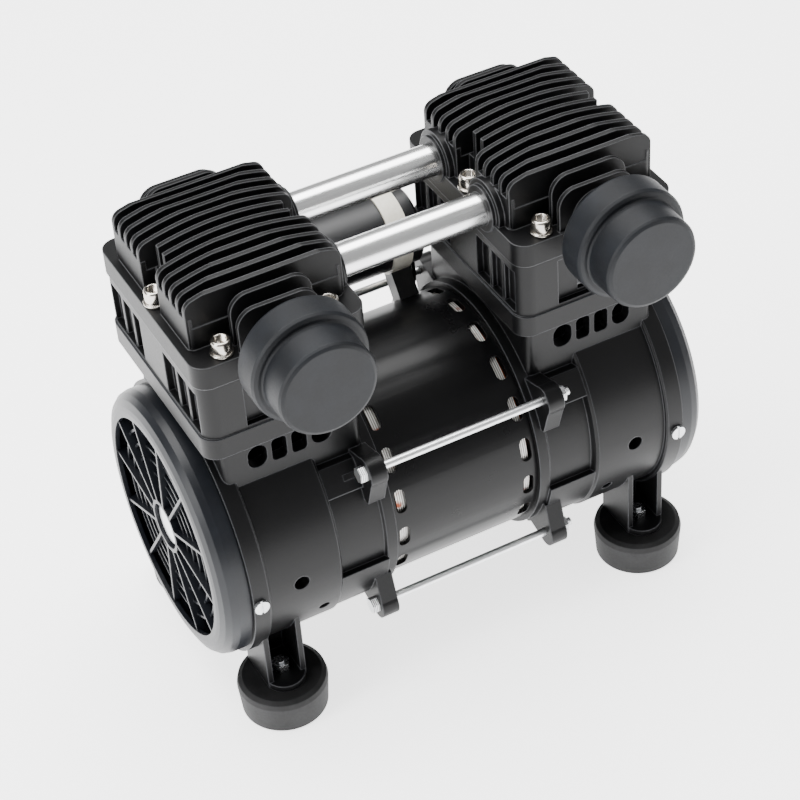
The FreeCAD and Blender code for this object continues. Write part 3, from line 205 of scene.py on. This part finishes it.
# ---- motor shell ---------------------------------------------------------------------
# A rolled steel tube with a row of cooling slots at each end, stove-enamelled in glossy
# black. The enamel flows smooth, so it mirrors the soft boxes with a slight orange peel.
enamel, tree, shader = finish("black_stove_enamel", Coat_Weight=0.04, Coat_Roughness=0.15)
shader.inputs["Specular IOR Level"].default_value = 0.18
place = add(tree, "ShaderNodeTexCoord")
soft = add(tree, "ShaderNodeBevel", {"Radius": 0.0005}, samples=4)
peel = add(tree, "ShaderNodeTexNoise", {"Vector": place.outputs["Object"], "Scale": 260.0, "Detail": 1.0})
dust = add(tree, "ShaderNodeTexNoise", {"Vector": place.outputs["Object"], "Scale": 30.0, "Detail": 5.0})
tone = add(tree, "ShaderNodeMix", {
    "Factor": dust.outputs["Fac"], "A": linear("#050506"), "B": linear("#0c0c0d")}, data_type="RGBA")
tree.links.new(tone.outputs["Result"], shader.inputs["Base Color"])
gleam = add(tree, "ShaderNodeMapRange", {"Value": dust.outputs["Fac"], "To Min": 0.24, "To Max": 0.34})
tree.links.new(gleam.outputs["Result"], shader.inputs["Roughness"])
flow = add(tree, "ShaderNodeBump", {
    "Height": peel.outputs["Fac"], "Strength": 0.12, "Distance": 0.0002, "Normal": soft.outputs["Normal"]})
tree.links.new(flow.outputs["Normal"], shader.inputs["Normal"])
wear(enamel, "motor_shell")

# ---- stator, rotor and windings ------------------------------------------------------
# Stamped electrical-steel sheets pressed into a stack, with enamelled copper coils laced
# at each end. The sheets show as fine bright lines through the shell's slots.
SHEET_THICK = 0.0011
sheets, tree, shader = finish("varnished_electrical_steel", Metallic=0.75)
place = add(tree, "ShaderNodeTexCoord")
split = add(tree, "ShaderNodeSeparateXYZ", {"Vector": place.outputs["Object"]})
count = add(tree, "ShaderNodeMath", {
    0: split.outputs["X"], 1: 2 * math.pi / SHEET_THICK}, operation="MULTIPLY")
wave = add(tree, "ShaderNodeMath", {0: count.outputs["Value"]}, operation="SINE")
stain = add(tree, "ShaderNodeTexNoise", {"Vector": place.outputs["Object"], "Scale": 85.0, "Detail": 3.0})
lines = add(tree, "ShaderNodeMapRange", {"Value": wave.outputs["Value"], "From Min": -0.9, "From Max": 0.2})
steel = add(tree, "ShaderNodeMix", {
    "Factor": lines.outputs["Result"], "A": linear("#77726c"), "B": linear("#dcdad6")}, data_type="RGBA")
patch = add(tree, "ShaderNodeMapRange", {"Value": stain.outputs["Fac"], "From Min": 0.6, "From Max": 0.68})
mottled = add(tree, "ShaderNodeMix", {
    "Factor": patch.outputs["Result"], "A": steel.outputs["Result"], "B": linear("#8a4a35")}, data_type="RGBA")
tree.links.new(mottled.outputs["Result"], shader.inputs["Base Color"])
shader.inputs["Roughness"].default_value = 0.42
ridges = add(tree, "ShaderNodeBump", {"Height": lines.outputs["Result"], "Strength": 0.6, "Distance": 0.0002})
tree.links.new(ridges.outputs["Normal"], shader.inputs["Normal"])
wear(sheets, "stator_core", "rotor_core")

# ---- bare steel and bare aluminium pieces inside ---------------------------------------
# Ground shafts, turned cranks, bearings, valve plates and reeds, and the machined rod,
# cylinder and piston cap. Their tool marks are drawn as a faint fine noise.


def machined(name, colour, roughness, metallic=1.0, mark=0.0009):
    """Bare machined metal with faint tool marks, a given distance apart in metres."""
    material, tree, shader = finish(name, Metallic=metallic)
    place = add(tree, "ShaderNodeTexCoord")
    soft = add(tree, "ShaderNodeBevel", {"Radius": 0.0003}, samples=4)
    smear = add(tree, "ShaderNodeTexNoise", {
        "Vector": place.outputs["Object"], "Scale": 120.0, "Detail": 4.0})
    tone = add(tree, "ShaderNodeMix", {
        "Factor": smear.outputs["Fac"], "A": [c * 0.82 for c in linear(colour)[:3]] + [1.0],
        "B": linear(colour)}, data_type="RGBA")
    tree.links.new(tone.outputs["Result"], shader.inputs["Base Color"])
    marks = add(tree, "ShaderNodeTexNoise", {
        "Vector": place.outputs["Object"], "Scale": 1 / mark, "Detail": 1.0})
    rough = add(tree, "ShaderNodeMapRange", {
        "Value": marks.outputs["Fac"], "To Min": roughness - 0.04, "To Max": roughness + 0.08})
    tree.links.new(rough.outputs["Result"], shader.inputs["Roughness"])
    bumps = add(tree, "ShaderNodeBump", {
        "Height": marks.outputs["Fac"], "Strength": 0.12, "Distance": 0.00005, "Normal": soft.outputs["Normal"]})
    tree.links.new(bumps.outputs["Normal"], shader.inputs["Normal"])
    return material


ground_steel = machined("ground_bearing_steel", "#b8b9bb", 0.28)
for side in ("right", "left"):
    wear(ground_steel, f"{side}_crank", f"{side}_shaft_bearing", f"{side}_rod_bearing_ring", f"{side}_valve_plate",
         f"{side}_intake_reed", f"{side}_discharge_reed")
wear(ground_steel, "motor_shaft", "discharge_stops")
bare_aluminium = machined("machined_aluminium", "#c9cacc", 0.36)
for side in ("right", "left"):
    wear(bare_aluminium, f"{side}_cylinder", f"{side}_piston_rod", f"{side}_piston_cap")

# ---- gaskets and piston seals ----------------------------------------------------------
# Pressed grey fibre sheet between head and tower, and cups of filled PTFE on the pistons,
# which run dry in the bores. Both are dull, with flecks of filler.


def flecked(name, colour, fleck_colour, roughness, fleck_size, share=0.6):
    """Dull filled sheet or felt, with flecks of a given size in metres."""
    material, tree, shader = finish(name)
    place = add(tree, "ShaderNodeTexCoord")
    flecks = add(tree, "ShaderNodeTexNoise", {
        "Vector": place.outputs["Object"], "Scale": 1 / fleck_size, "Detail": 3.0})
    spots = add(tree, "ShaderNodeMapRange", {
        "Value": flecks.outputs["Fac"], "From Min": share - 0.08, "From Max": share + 0.08})
    tone = add(tree, "ShaderNodeMix", {
        "Factor": spots.outputs["Result"], "A": linear(colour), "B": linear(fleck_colour)}, data_type="RGBA")
    tree.links.new(tone.outputs["Result"], shader.inputs["Base Color"])
    shader.inputs["Roughness"].default_value = roughness
    bumps = add(tree, "ShaderNodeBump", {
        "Height": flecks.outputs["Fac"], "Strength": 0.3, "Distance": 0.0001})
    tree.links.new(bumps.outputs["Normal"], shader.inputs["Normal"])
    return material


fibre_sheet = flecked("pressed_gasket_fibre", "#4b4c4a", "#6d6e6a", 0.8, 0.0008)
filled_ptfe = flecked("bronze_filled_ptfe", "#7d6b4f", "#a58d63", 0.5, 0.0006)
for side in ("right", "left"):
    wear(fibre_sheet, f"{side}_head_gasket")
    wear(filled_ptfe, f"{side}_piston_cup_seal")

# ---- copper windings --------------------------------------------------------------------
# Enamelled copper wire wound in hanks and dipped in amber varnish, at each end of the
# stator. Each hank's wires run round the bore side by side.
WIRE_THICK = 0.0012
AXIS_HEIGHT = 0.0886
copper, tree, shader = finish("varnished_enamelled_copper", Metallic=0.55, Coat_Weight=0.4, Coat_Roughness=0.2)
place = add(tree, "ShaderNodeTexCoord")
middle = add(tree, "ShaderNodeMapping", {"Vector": place.outputs["Object"], "Location": (0, 0, -AXIS_HEIGHT)})
split = add(tree, "ShaderNodeSeparateXYZ", {"Vector": middle.outputs["Vector"]})
flat = add(tree, "ShaderNodeCombineXYZ", {"Y": split.outputs["Y"], "Z": split.outputs["Z"]})
reach = add(tree, "ShaderNodeVectorMath", {0: flat.outputs["Vector"]}, operation="LENGTH")
both = add(tree, "ShaderNodeMath", {0: reach.outputs["Value"], 1: split.outputs["X"]}, operation="ADD")
turns = add(tree, "ShaderNodeMath", {
    0: both.outputs["Value"], 1: 2 * math.pi / WIRE_THICK}, operation="MULTIPLY")
wave = add(tree, "ShaderNodeMath", {0: turns.outputs["Value"]}, operation="SINE")
round_wire = add(tree, "ShaderNodeMapRange", {
    "Value": wave.outputs["Value"], "From Min": -1.0, "From Max": 1.0})
amber = add(tree, "ShaderNodeMix", {
    "Factor": round_wire.outputs["Result"], "A": linear("#3d1c10"), "B": linear("#b06a42")}, data_type="RGBA")
tree.links.new(amber.outputs["Result"], shader.inputs["Base Color"])
shader.inputs["Roughness"].default_value = 0.38
rows = add(tree, "ShaderNodeBump", {
    "Height": round_wire.outputs["Result"], "Strength": 0.8, "Distance": 0.0003})
tree.links.new(rows.outputs["Normal"], shader.inputs["Normal"])
wear(copper, "stator_windings")

# ---- head screws and their washers ------------------------------------------------------
# Nickel-plated M6 socket screws, each on a washer, four at the corners of a head and one
# midway along each side. The plating is bright and slightly warm.
HEAD_TOP = 0.2165
SCREW_RADIUS = 0.0046
SCREW_TALL = 0.0065
WASHER_RADIUS = 0.0054
WASHER_TALL = 0.0015
SOCKET_HALF = 0.0025
SOCKET_DEEP = 0.0036
AROUND = 48


def turned_rings(rings, steps=AROUND):
    """A closed mesh from rings of (height, radius at an angle), each end closed by one face."""
    shape = bmesh.new()
    made = []
    for height, radius_at in rings:
        made.append([
            shape.verts.new((radius_at(a) * math.cos(a), radius_at(a) * math.sin(a), height))
            for a in (2 * math.pi * n / steps for n in range(steps))])
    for low, high in zip(made, made[1:]):
        for n in range(steps):
            shape.faces.new((low[n], low[(n + 1) % steps], high[(n + 1) % steps], high[n]))
    shape.faces.new(list(reversed(made[0])))
    shape.faces.new(made[-1])
    bmesh.ops.recalc_face_normals(shape, faces=shape.faces)
    mesh = bpy.data.meshes.new("turned")
    shape.to_mesh(mesh)
    shape.free()
    return mesh


def circle(radius):
    return lambda angle: radius


def hexagon(half_width):
    """The distance to a hexagon's side at an angle."""
    sixth = math.pi / 3
    return lambda angle: half_width / math.cos((angle % sixth) - sixth / 2)


head_start = WASHER_TALL
head_end = WASHER_TALL + SCREW_TALL
screw_mesh = turned_rings([
    (0.0, circle(SCREW_RADIUS * 0.4)),
    (0.0, circle(WASHER_RADIUS)),
    (WASHER_TALL * 0.8, circle(WASHER_RADIUS)),
    (WASHER_TALL, circle(WASHER_RADIUS - 0.0004)),
    (WASHER_TALL, circle(SCREW_RADIUS - 0.0001)),
    (head_start + 0.0004, circle(SCREW_RADIUS)),
    (head_end - 0.0011, circle(SCREW_RADIUS)),
    (head_end - 0.0004, circle(SCREW_RADIUS - 0.0003)),
    (head_end, circle(SCREW_RADIUS - 0.0010)),
    (head_end, circle(SOCKET_HALF + 0.0007)),
    (head_end - 0.0005, hexagon(SOCKET_HALF)),
    (head_end - SOCKET_DEEP, hexagon(SOCKET_HALF)),
])
for face in screw_mesh.polygons:
    face.use_smooth = abs(face.normal.z) < 0.9
screw_set = bpy.data.objects.new("head_screw_set", screw_mesh)
scene.collection.objects.link(screw_set)

screw_tree = bpy.data.node_groups.new("screws_round_a_head", "GeometryNodeTree")
sides = screw_tree.interface
sides.new_socket("Screw", in_out="INPUT", socket_type="NodeSocketGeometry")
INPUT_SIZES = {
    "Corner Width": 0.052, "Corner Depth": 0.096, "Side Width": 0.073,
    "Head Spacing": 0.160, "Middle": 0.003, "Height": HEAD_TOP}
for label in INPUT_SIZES:
    sides.new_socket(label, in_out="INPUT", socket_type="NodeSocketFloat")
sides.new_socket("Finish", in_out="INPUT", socket_type="NodeSocketMaterial")
sides.new_socket("Screws", in_out="OUTPUT", socket_type="NodeSocketGeometry")
given = add(screw_tree, "NodeGroupInput")
corners = add(screw_tree, "GeometryNodeMeshGrid", {
    "Size X": given.outputs["Corner Width"], "Size Y": given.outputs["Corner Depth"],
    "Vertices X": 2, "Vertices Y": 2})
middles = add(screw_tree, "GeometryNodeMeshGrid", {
    "Size X": given.outputs["Side Width"], "Size Y": 0.00001, "Vertices X": 2, "Vertices Y": 2})
one_row = add(screw_tree, "GeometryNodeMergeByDistance", {
    "Geometry": middles.outputs["Mesh"], "Distance": 0.0001})
places = add(screw_tree, "GeometryNodeJoinGeometry")
screw_tree.links.new(corners.outputs["Mesh"], places.inputs["Geometry"])
screw_tree.links.new(one_row.outputs["Geometry"], places.inputs["Geometry"])
heads = add(screw_tree, "GeometryNodeMeshGrid", {
    "Size X": given.outputs["Head Spacing"], "Size Y": 0.00001, "Vertices X": 2, "Vertices Y": 2})
two_heads = add(screw_tree, "GeometryNodeMergeByDistance", {
    "Geometry": heads.outputs["Mesh"], "Distance": 0.0001})
head_sets = add(screw_tree, "GeometryNodeInstanceOnPoints", {
    "Points": two_heads.outputs["Geometry"], "Instance": places.outputs["Geometry"]})
all_places = add(screw_tree, "GeometryNodeRealizeInstances", {"Geometry": head_sets.outputs["Instances"]})
stand = add(screw_tree, "ShaderNodeCombineXYZ", {"Y": given.outputs["Middle"], "Z": given.outputs["Height"]})
moved = add(screw_tree, "GeometryNodeSetPosition", {
    "Geometry": all_places.outputs["Geometry"], "Offset": stand.outputs["Vector"]})
# each screw stops at its own angle when it is tight
turned = add(screw_tree, "FunctionNodeRandomValue", {
    "Max": (0.0, 0.0, 1.047), "Seed": 7}, data_type="FLOAT_VECTOR")
fixed = add(screw_tree, "GeometryNodeInstanceOnPoints", {
    "Points": moved.outputs["Geometry"], "Instance": given.outputs["Screw"], "Rotation": turned.outputs["Value"]})
solid = add(screw_tree, "GeometryNodeRealizeInstances", {"Geometry": fixed.outputs["Instances"]})
plated = add(screw_tree, "GeometryNodeSetMaterial", {
    "Geometry": solid.outputs["Geometry"], "Material": given.outputs["Finish"]})
add(screw_tree, "NodeGroupOutput", {"Screws": plated.outputs["Geometry"]})

nickel = machined("bright_nickel_plate", "#d3cdc4", 0.2)


def run_tree(holder, tree, values):
    """Runs a Geometry Nodes tree on an object and keeps the result as its plain mesh."""
    modifier = holder.modifiers.new("build", "NODES")
    modifier.node_group = tree
    for item in tree.interface.items_tree:
        if item.item_type == "SOCKET" and item.in_out == "INPUT" and item.name in values:
            modifier[item.identifier] = values[item.name]
    evaluated = holder.evaluated_get(bpy.context.evaluated_depsgraph_get())
    plain = bpy.data.meshes.new_from_object(evaluated)
    holder.modifiers.remove(modifier)
    holder.data = plain
    return holder


run_tree(screw_set, screw_tree, {**INPUT_SIZES, "Finish": nickel})
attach(screw_set, "housing")
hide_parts("head_screws", "head_washers")
wear(nickel, "rear_port_plug")

# ---- crossover tubes and their seals ---------------------------------------------------
# Drawn aluminium tube, polished nearly to a mirror, pushed into the heads past rubber
# rings. Drawing leaves faint streaks along each tube.
bright_tube, tube_nodes, shader = finish("drawn_polished_aluminium", Metallic=1.0)
place = add(tube_nodes, "ShaderNodeTexCoord")
along = add(tube_nodes, "ShaderNodeMapping", {"Vector": place.outputs["Object"], "Scale": (0.03, 1.0, 1.0)})
streak = add(tube_nodes, "ShaderNodeTexNoise", {
    "Vector": along.outputs["Vector"], "Scale": 900.0, "Detail": 3.0})
tone = add(tube_nodes, "ShaderNodeMix", {
    "Factor": streak.outputs["Fac"], "A": linear("#eceded"), "B": linear("#fdfdfd")}, data_type="RGBA")
tube_nodes.links.new(tone.outputs["Result"], shader.inputs["Base Color"])
gleam = add(tube_nodes, "ShaderNodeMapRange", {"Value": streak.outputs["Fac"], "To Min": 0.2, "To Max": 0.3})
tube_nodes.links.new(gleam.outputs["Result"], shader.inputs["Roughness"])
drawn = add(tube_nodes, "ShaderNodeBump", {
    "Height": streak.outputs["Fac"], "Strength": 0.15, "Distance": 0.00005})
tube_nodes.links.new(drawn.outputs["Normal"], shader.inputs["Normal"])
wear(bright_tube, "front_crossover_tube", "rear_crossover_tube")

# ---- rubber feet and seals -------------------------------------------------------------
# Black moulded natural rubber, bonded round a steel insert. The mould's surface is matt,
# with a chalky bloom that settles unevenly.


def moulded(name, colour, bloom_colour, roughness, skin_size, skin_depth, bloom_size=0.012, specular=0.35):
    """Moulded rubber or plastic: a dull skin, with a paler bloom in soft patches."""
    material, tree, shader = finish(name)
    shader.inputs["Specular IOR Level"].default_value = specular
    place = add(tree, "ShaderNodeTexCoord")
    soft = add(tree, "ShaderNodeBevel", {"Radius": 0.0007}, samples=5)
    bloom = add(tree, "ShaderNodeTexNoise", {
        "Vector": place.outputs["Object"], "Scale": 1 / bloom_size, "Detail": 6.0, "Roughness": 0.62})
    amount = add(tree, "ShaderNodeMapRange", {
        "Value": bloom.outputs["Fac"], "From Min": 0.4, "From Max": 0.75})
    tone = add(tree, "ShaderNodeMix", {
        "Factor": amount.outputs["Result"], "A": linear(colour), "B": linear(bloom_colour)}, data_type="RGBA")
    tree.links.new(tone.outputs["Result"], shader.inputs["Base Color"])
    skin = add(tree, "ShaderNodeTexNoise", {
        "Vector": place.outputs["Object"], "Scale": 1 / skin_size, "Detail": 2.0})
    rough = add(tree, "ShaderNodeMapRange", {
        "Value": skin.outputs["Fac"], "To Min": roughness - 0.06, "To Max": roughness + 0.08})
    tree.links.new(rough.outputs["Result"], shader.inputs["Roughness"])
    bumps = add(tree, "ShaderNodeBump", {
        "Height": skin.outputs["Fac"], "Strength": 0.3, "Distance": skin_depth, "Normal": soft.outputs["Normal"]})
    tree.links.new(bumps.outputs["Normal"], shader.inputs["Normal"])
    return material


foot_rubber = moulded("moulded_natural_rubber", "#101011", "#202021", 0.62, 0.0012, 0.00015)
wear(foot_rubber, "front_left_foot", "front_right_foot", "rear_left_foot", "rear_right_foot", "tube_seals")

# ---- intake mufflers --------------------------------------------------------------------
# Blue-grey moulded EPDM cups pushed over a black nylon base, with a ring of white felt
# inside. The skin is satin and picks up pale scuffs.
muffler_rubber = moulded("moulded_blue_grey_epdm", "#0c0e12", "#15181d", 0.5, 0.0010, 0.00008, 0.02, 0.25)
base_nylon = moulded("black_glass_filled_nylon", "#101011", "#1d1d1f", 0.5, 0.0008, 0.0001, 0.01)
white_felt = flecked("white_wool_felt", "#e6e3da", "#f7f5ef", 0.95, 0.0015, 0.5)
for side in ("right", "left"):
    wear(muffler_rubber, f"{side}_muffler_cap")
    wear(base_nylon, f"{side}_muffler_base")
    wear(white_felt, f"{side}_filter_element")

# ---- fans and their covers --------------------------------------------------------------
# Cooling fans in black nylon behind blue-grey ABS covers. The covers' thin spokes and
# rings are moulded in, and their skin is a little paler in soft patches.
cover_plastic = moulded("satin_blue_grey_abs", "#0f1116", "#181b20", 0.36, 0.0007, 0.00005, 0.03, 0.3)
fan_nylon = moulded("black_fan_nylon", "#0e0e0f", "#18181a", 0.45, 0.0008, 0.0001, 0.01)
for side in ("right", "left"):
    wear(cover_plastic, f"{side}_fan_cover")
    wear(fan_nylon, f"{side}_fan")

# A thin disc of stamped, spun-finished aluminium closes the middle of each grille.
HUB_FLOOR = 0.1283
HUB_RADIUS = 0.0104
spun = machined("spun_aluminium_disc", "#dfe0e2", 0.3)
disc_rings = [
    (0.00005, circle(0.001)), (0.00005, circle(HUB_RADIUS)), (0.0005, circle(HUB_RADIUS)),
    (0.0008, circle(HUB_RADIUS - 0.0005)), (0.0009, circle(HUB_RADIUS - 0.0012)),
    (0.0013, circle(HUB_RADIUS * 0.6)), (0.0015, circle(HUB_RADIUS * 0.25))]
for side, sign in (("right", 1), ("left", -1)):
    disc_mesh = turned_rings(disc_rings)
    to_side = Matrix.Translation((sign * HUB_FLOOR, 0, AXIS_HEIGHT)) @ Matrix.Rotation(sign * math.pi / 2, 4, "Y")
    disc_mesh.transform(to_side)
    for face in disc_mesh.polygons:
        face.use_smooth = abs(face.normal.x) > 0.3
    disc = bpy.data.objects.new(f"{side}_hub_disc", disc_mesh)
    disc_mesh.materials.append(spun)
    scene.collection.objects.link(disc)
    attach(disc, "housing")

# ---- through-bolts, nuts, studs and small screws ----------------------------------------
# Carbon steel with bright zinc plating. The long bolts that clamp the two crankcases to
# the motor have rolled threads at their ends, inside and beyond the ears.
THREAD_PITCH = 0.0009
THREAD_START = 0.0455
zinc, zinc_nodes, shader = finish("bright_zinc_plate", Metallic=1.0)
place = add(zinc_nodes, "ShaderNodeTexCoord")
split = add(zinc_nodes, "ShaderNodeSeparateXYZ", {"Vector": place.outputs["Object"]})
out_from_middle = add(zinc_nodes, "ShaderNodeMath", {0: split.outputs["X"]}, operation="ABSOLUTE")
threaded = add(zinc_nodes, "ShaderNodeMath", {
    0: out_from_middle.outputs["Value"], 1: THREAD_START}, operation="GREATER_THAN")
phase = add(zinc_nodes, "ShaderNodeMath", {
    0: split.outputs["X"], 1: 2 * math.pi / THREAD_PITCH}, operation="MULTIPLY")
crest = add(zinc_nodes, "ShaderNodeMath", {0: phase.outputs["Value"]}, operation="SINE")
thread = add(zinc_nodes, "ShaderNodeMath", {
    0: crest.outputs["Value"], 1: threaded.outputs["Value"]}, operation="MULTIPLY")
spangle = add(zinc_nodes, "ShaderNodeTexVoronoi", {"Vector": place.outputs["Object"], "Scale": 260.0})
tone = add(zinc_nodes, "ShaderNodeMix", {
    "Factor": spangle.outputs["Distance"], "A": linear("#fafbfb"), "B": linear("#eceef0")}, data_type="RGBA")
zinc_nodes.links.new(tone.outputs["Result"], shader.inputs["Base Color"])
gleam = add(zinc_nodes, "ShaderNodeMapRange", {
    "Value": spangle.outputs["Distance"], "To Min": 0.34, "To Max": 0.4})
zinc_nodes.links.new(gleam.outputs["Result"], shader.inputs["Roughness"])
rolled = add(zinc_nodes, "ShaderNodeBump", {
    "Height": thread.outputs["Value"], "Strength": 0.7, "Distance": 0.00025})
zinc_nodes.links.new(rolled.outputs["Normal"], shader.inputs["Normal"])
wear(zinc, "through_bolts", "through_nuts")
plain_zinc = machined("bright_zinc_screws", "#e6e8ea", 0.24)
wear(plain_zinc, "fan_cover_screws", "foot_studs", "foot_nuts")

# ---- run capacitor ---------------------------------------------------------------------
# A film capacitor in a black plastic can, held by a band. The band's wrap is cream where
# it goes round the can and its foot is black, down to the motor shell.
CAN_Y = 0.056
CAN_Z = 0.167
CAN_RADIUS = 0.020
WRAP_THICK = 0.0014
can_plastic = moulded("black_pbt_can", "#111113", "#1b1b1d", 0.4, 0.0009, 0.00006, 0.015, 0.45)
wear(can_plastic, "capacitor")
wrap, wrap_nodes, shader = finish("cream_wrap_on_black_foot")
place = add(wrap_nodes, "ShaderNodeTexCoord")
middle = add(wrap_nodes, "ShaderNodeMapping", {
    "Vector": place.outputs["Object"], "Location": (0, -CAN_Y, -CAN_Z)})
flat = add(wrap_nodes, "ShaderNodeVectorMath", {
    0: middle.outputs["Vector"], 1: (0.0, 1.0, 1.0)}, operation="MULTIPLY")
reach = add(wrap_nodes, "ShaderNodeVectorMath", {0: flat.outputs["Vector"]}, operation="LENGTH")
is_foot = add(wrap_nodes, "ShaderNodeMath", {
    0: reach.outputs["Value"], 1: CAN_RADIUS + WRAP_THICK}, operation="GREATER_THAN")
weave = add(wrap_nodes, "ShaderNodeTexNoise", {
    "Vector": place.outputs["Object"], "Scale": 500.0, "Detail": 2.0})
cream = add(wrap_nodes, "ShaderNodeMix", {
    "Factor": weave.outputs["Fac"], "A": linear("#d8d2c2"), "B": linear("#f2eee2")}, data_type="RGBA")
parted = add(wrap_nodes, "ShaderNodeMix", {
    "Factor": is_foot.outputs["Value"], "A": cream.outputs["Result"], "B": linear("#151516")}, data_type="RGBA")
wrap_nodes.links.new(parted.outputs["Result"], shader.inputs["Base Color"])
shader.inputs["Roughness"].default_value = 0.5
ply = add(wrap_nodes, "ShaderNodeBump", {"Height": weave.outputs["Fac"], "Strength": 0.2, "Distance": 0.0001})
wrap_nodes.links.new(ply.outputs["Normal"], shader.inputs["Normal"])
wear(wrap, "capacitor_clip")

# ---- capacitor leads ---------------------------------------------------------------------
# Three short PVC-covered leads from the can to a moulded terminal block on the shell. The
# PVC is glossy where it was extruded.
lead_pvc = moulded("extruded_black_pvc", "#0b0b0c", "#141416", 0.24, 0.0010, 0.00003, 0.01, 0.5)
wear(lead_pvc, "capacitor_leads")
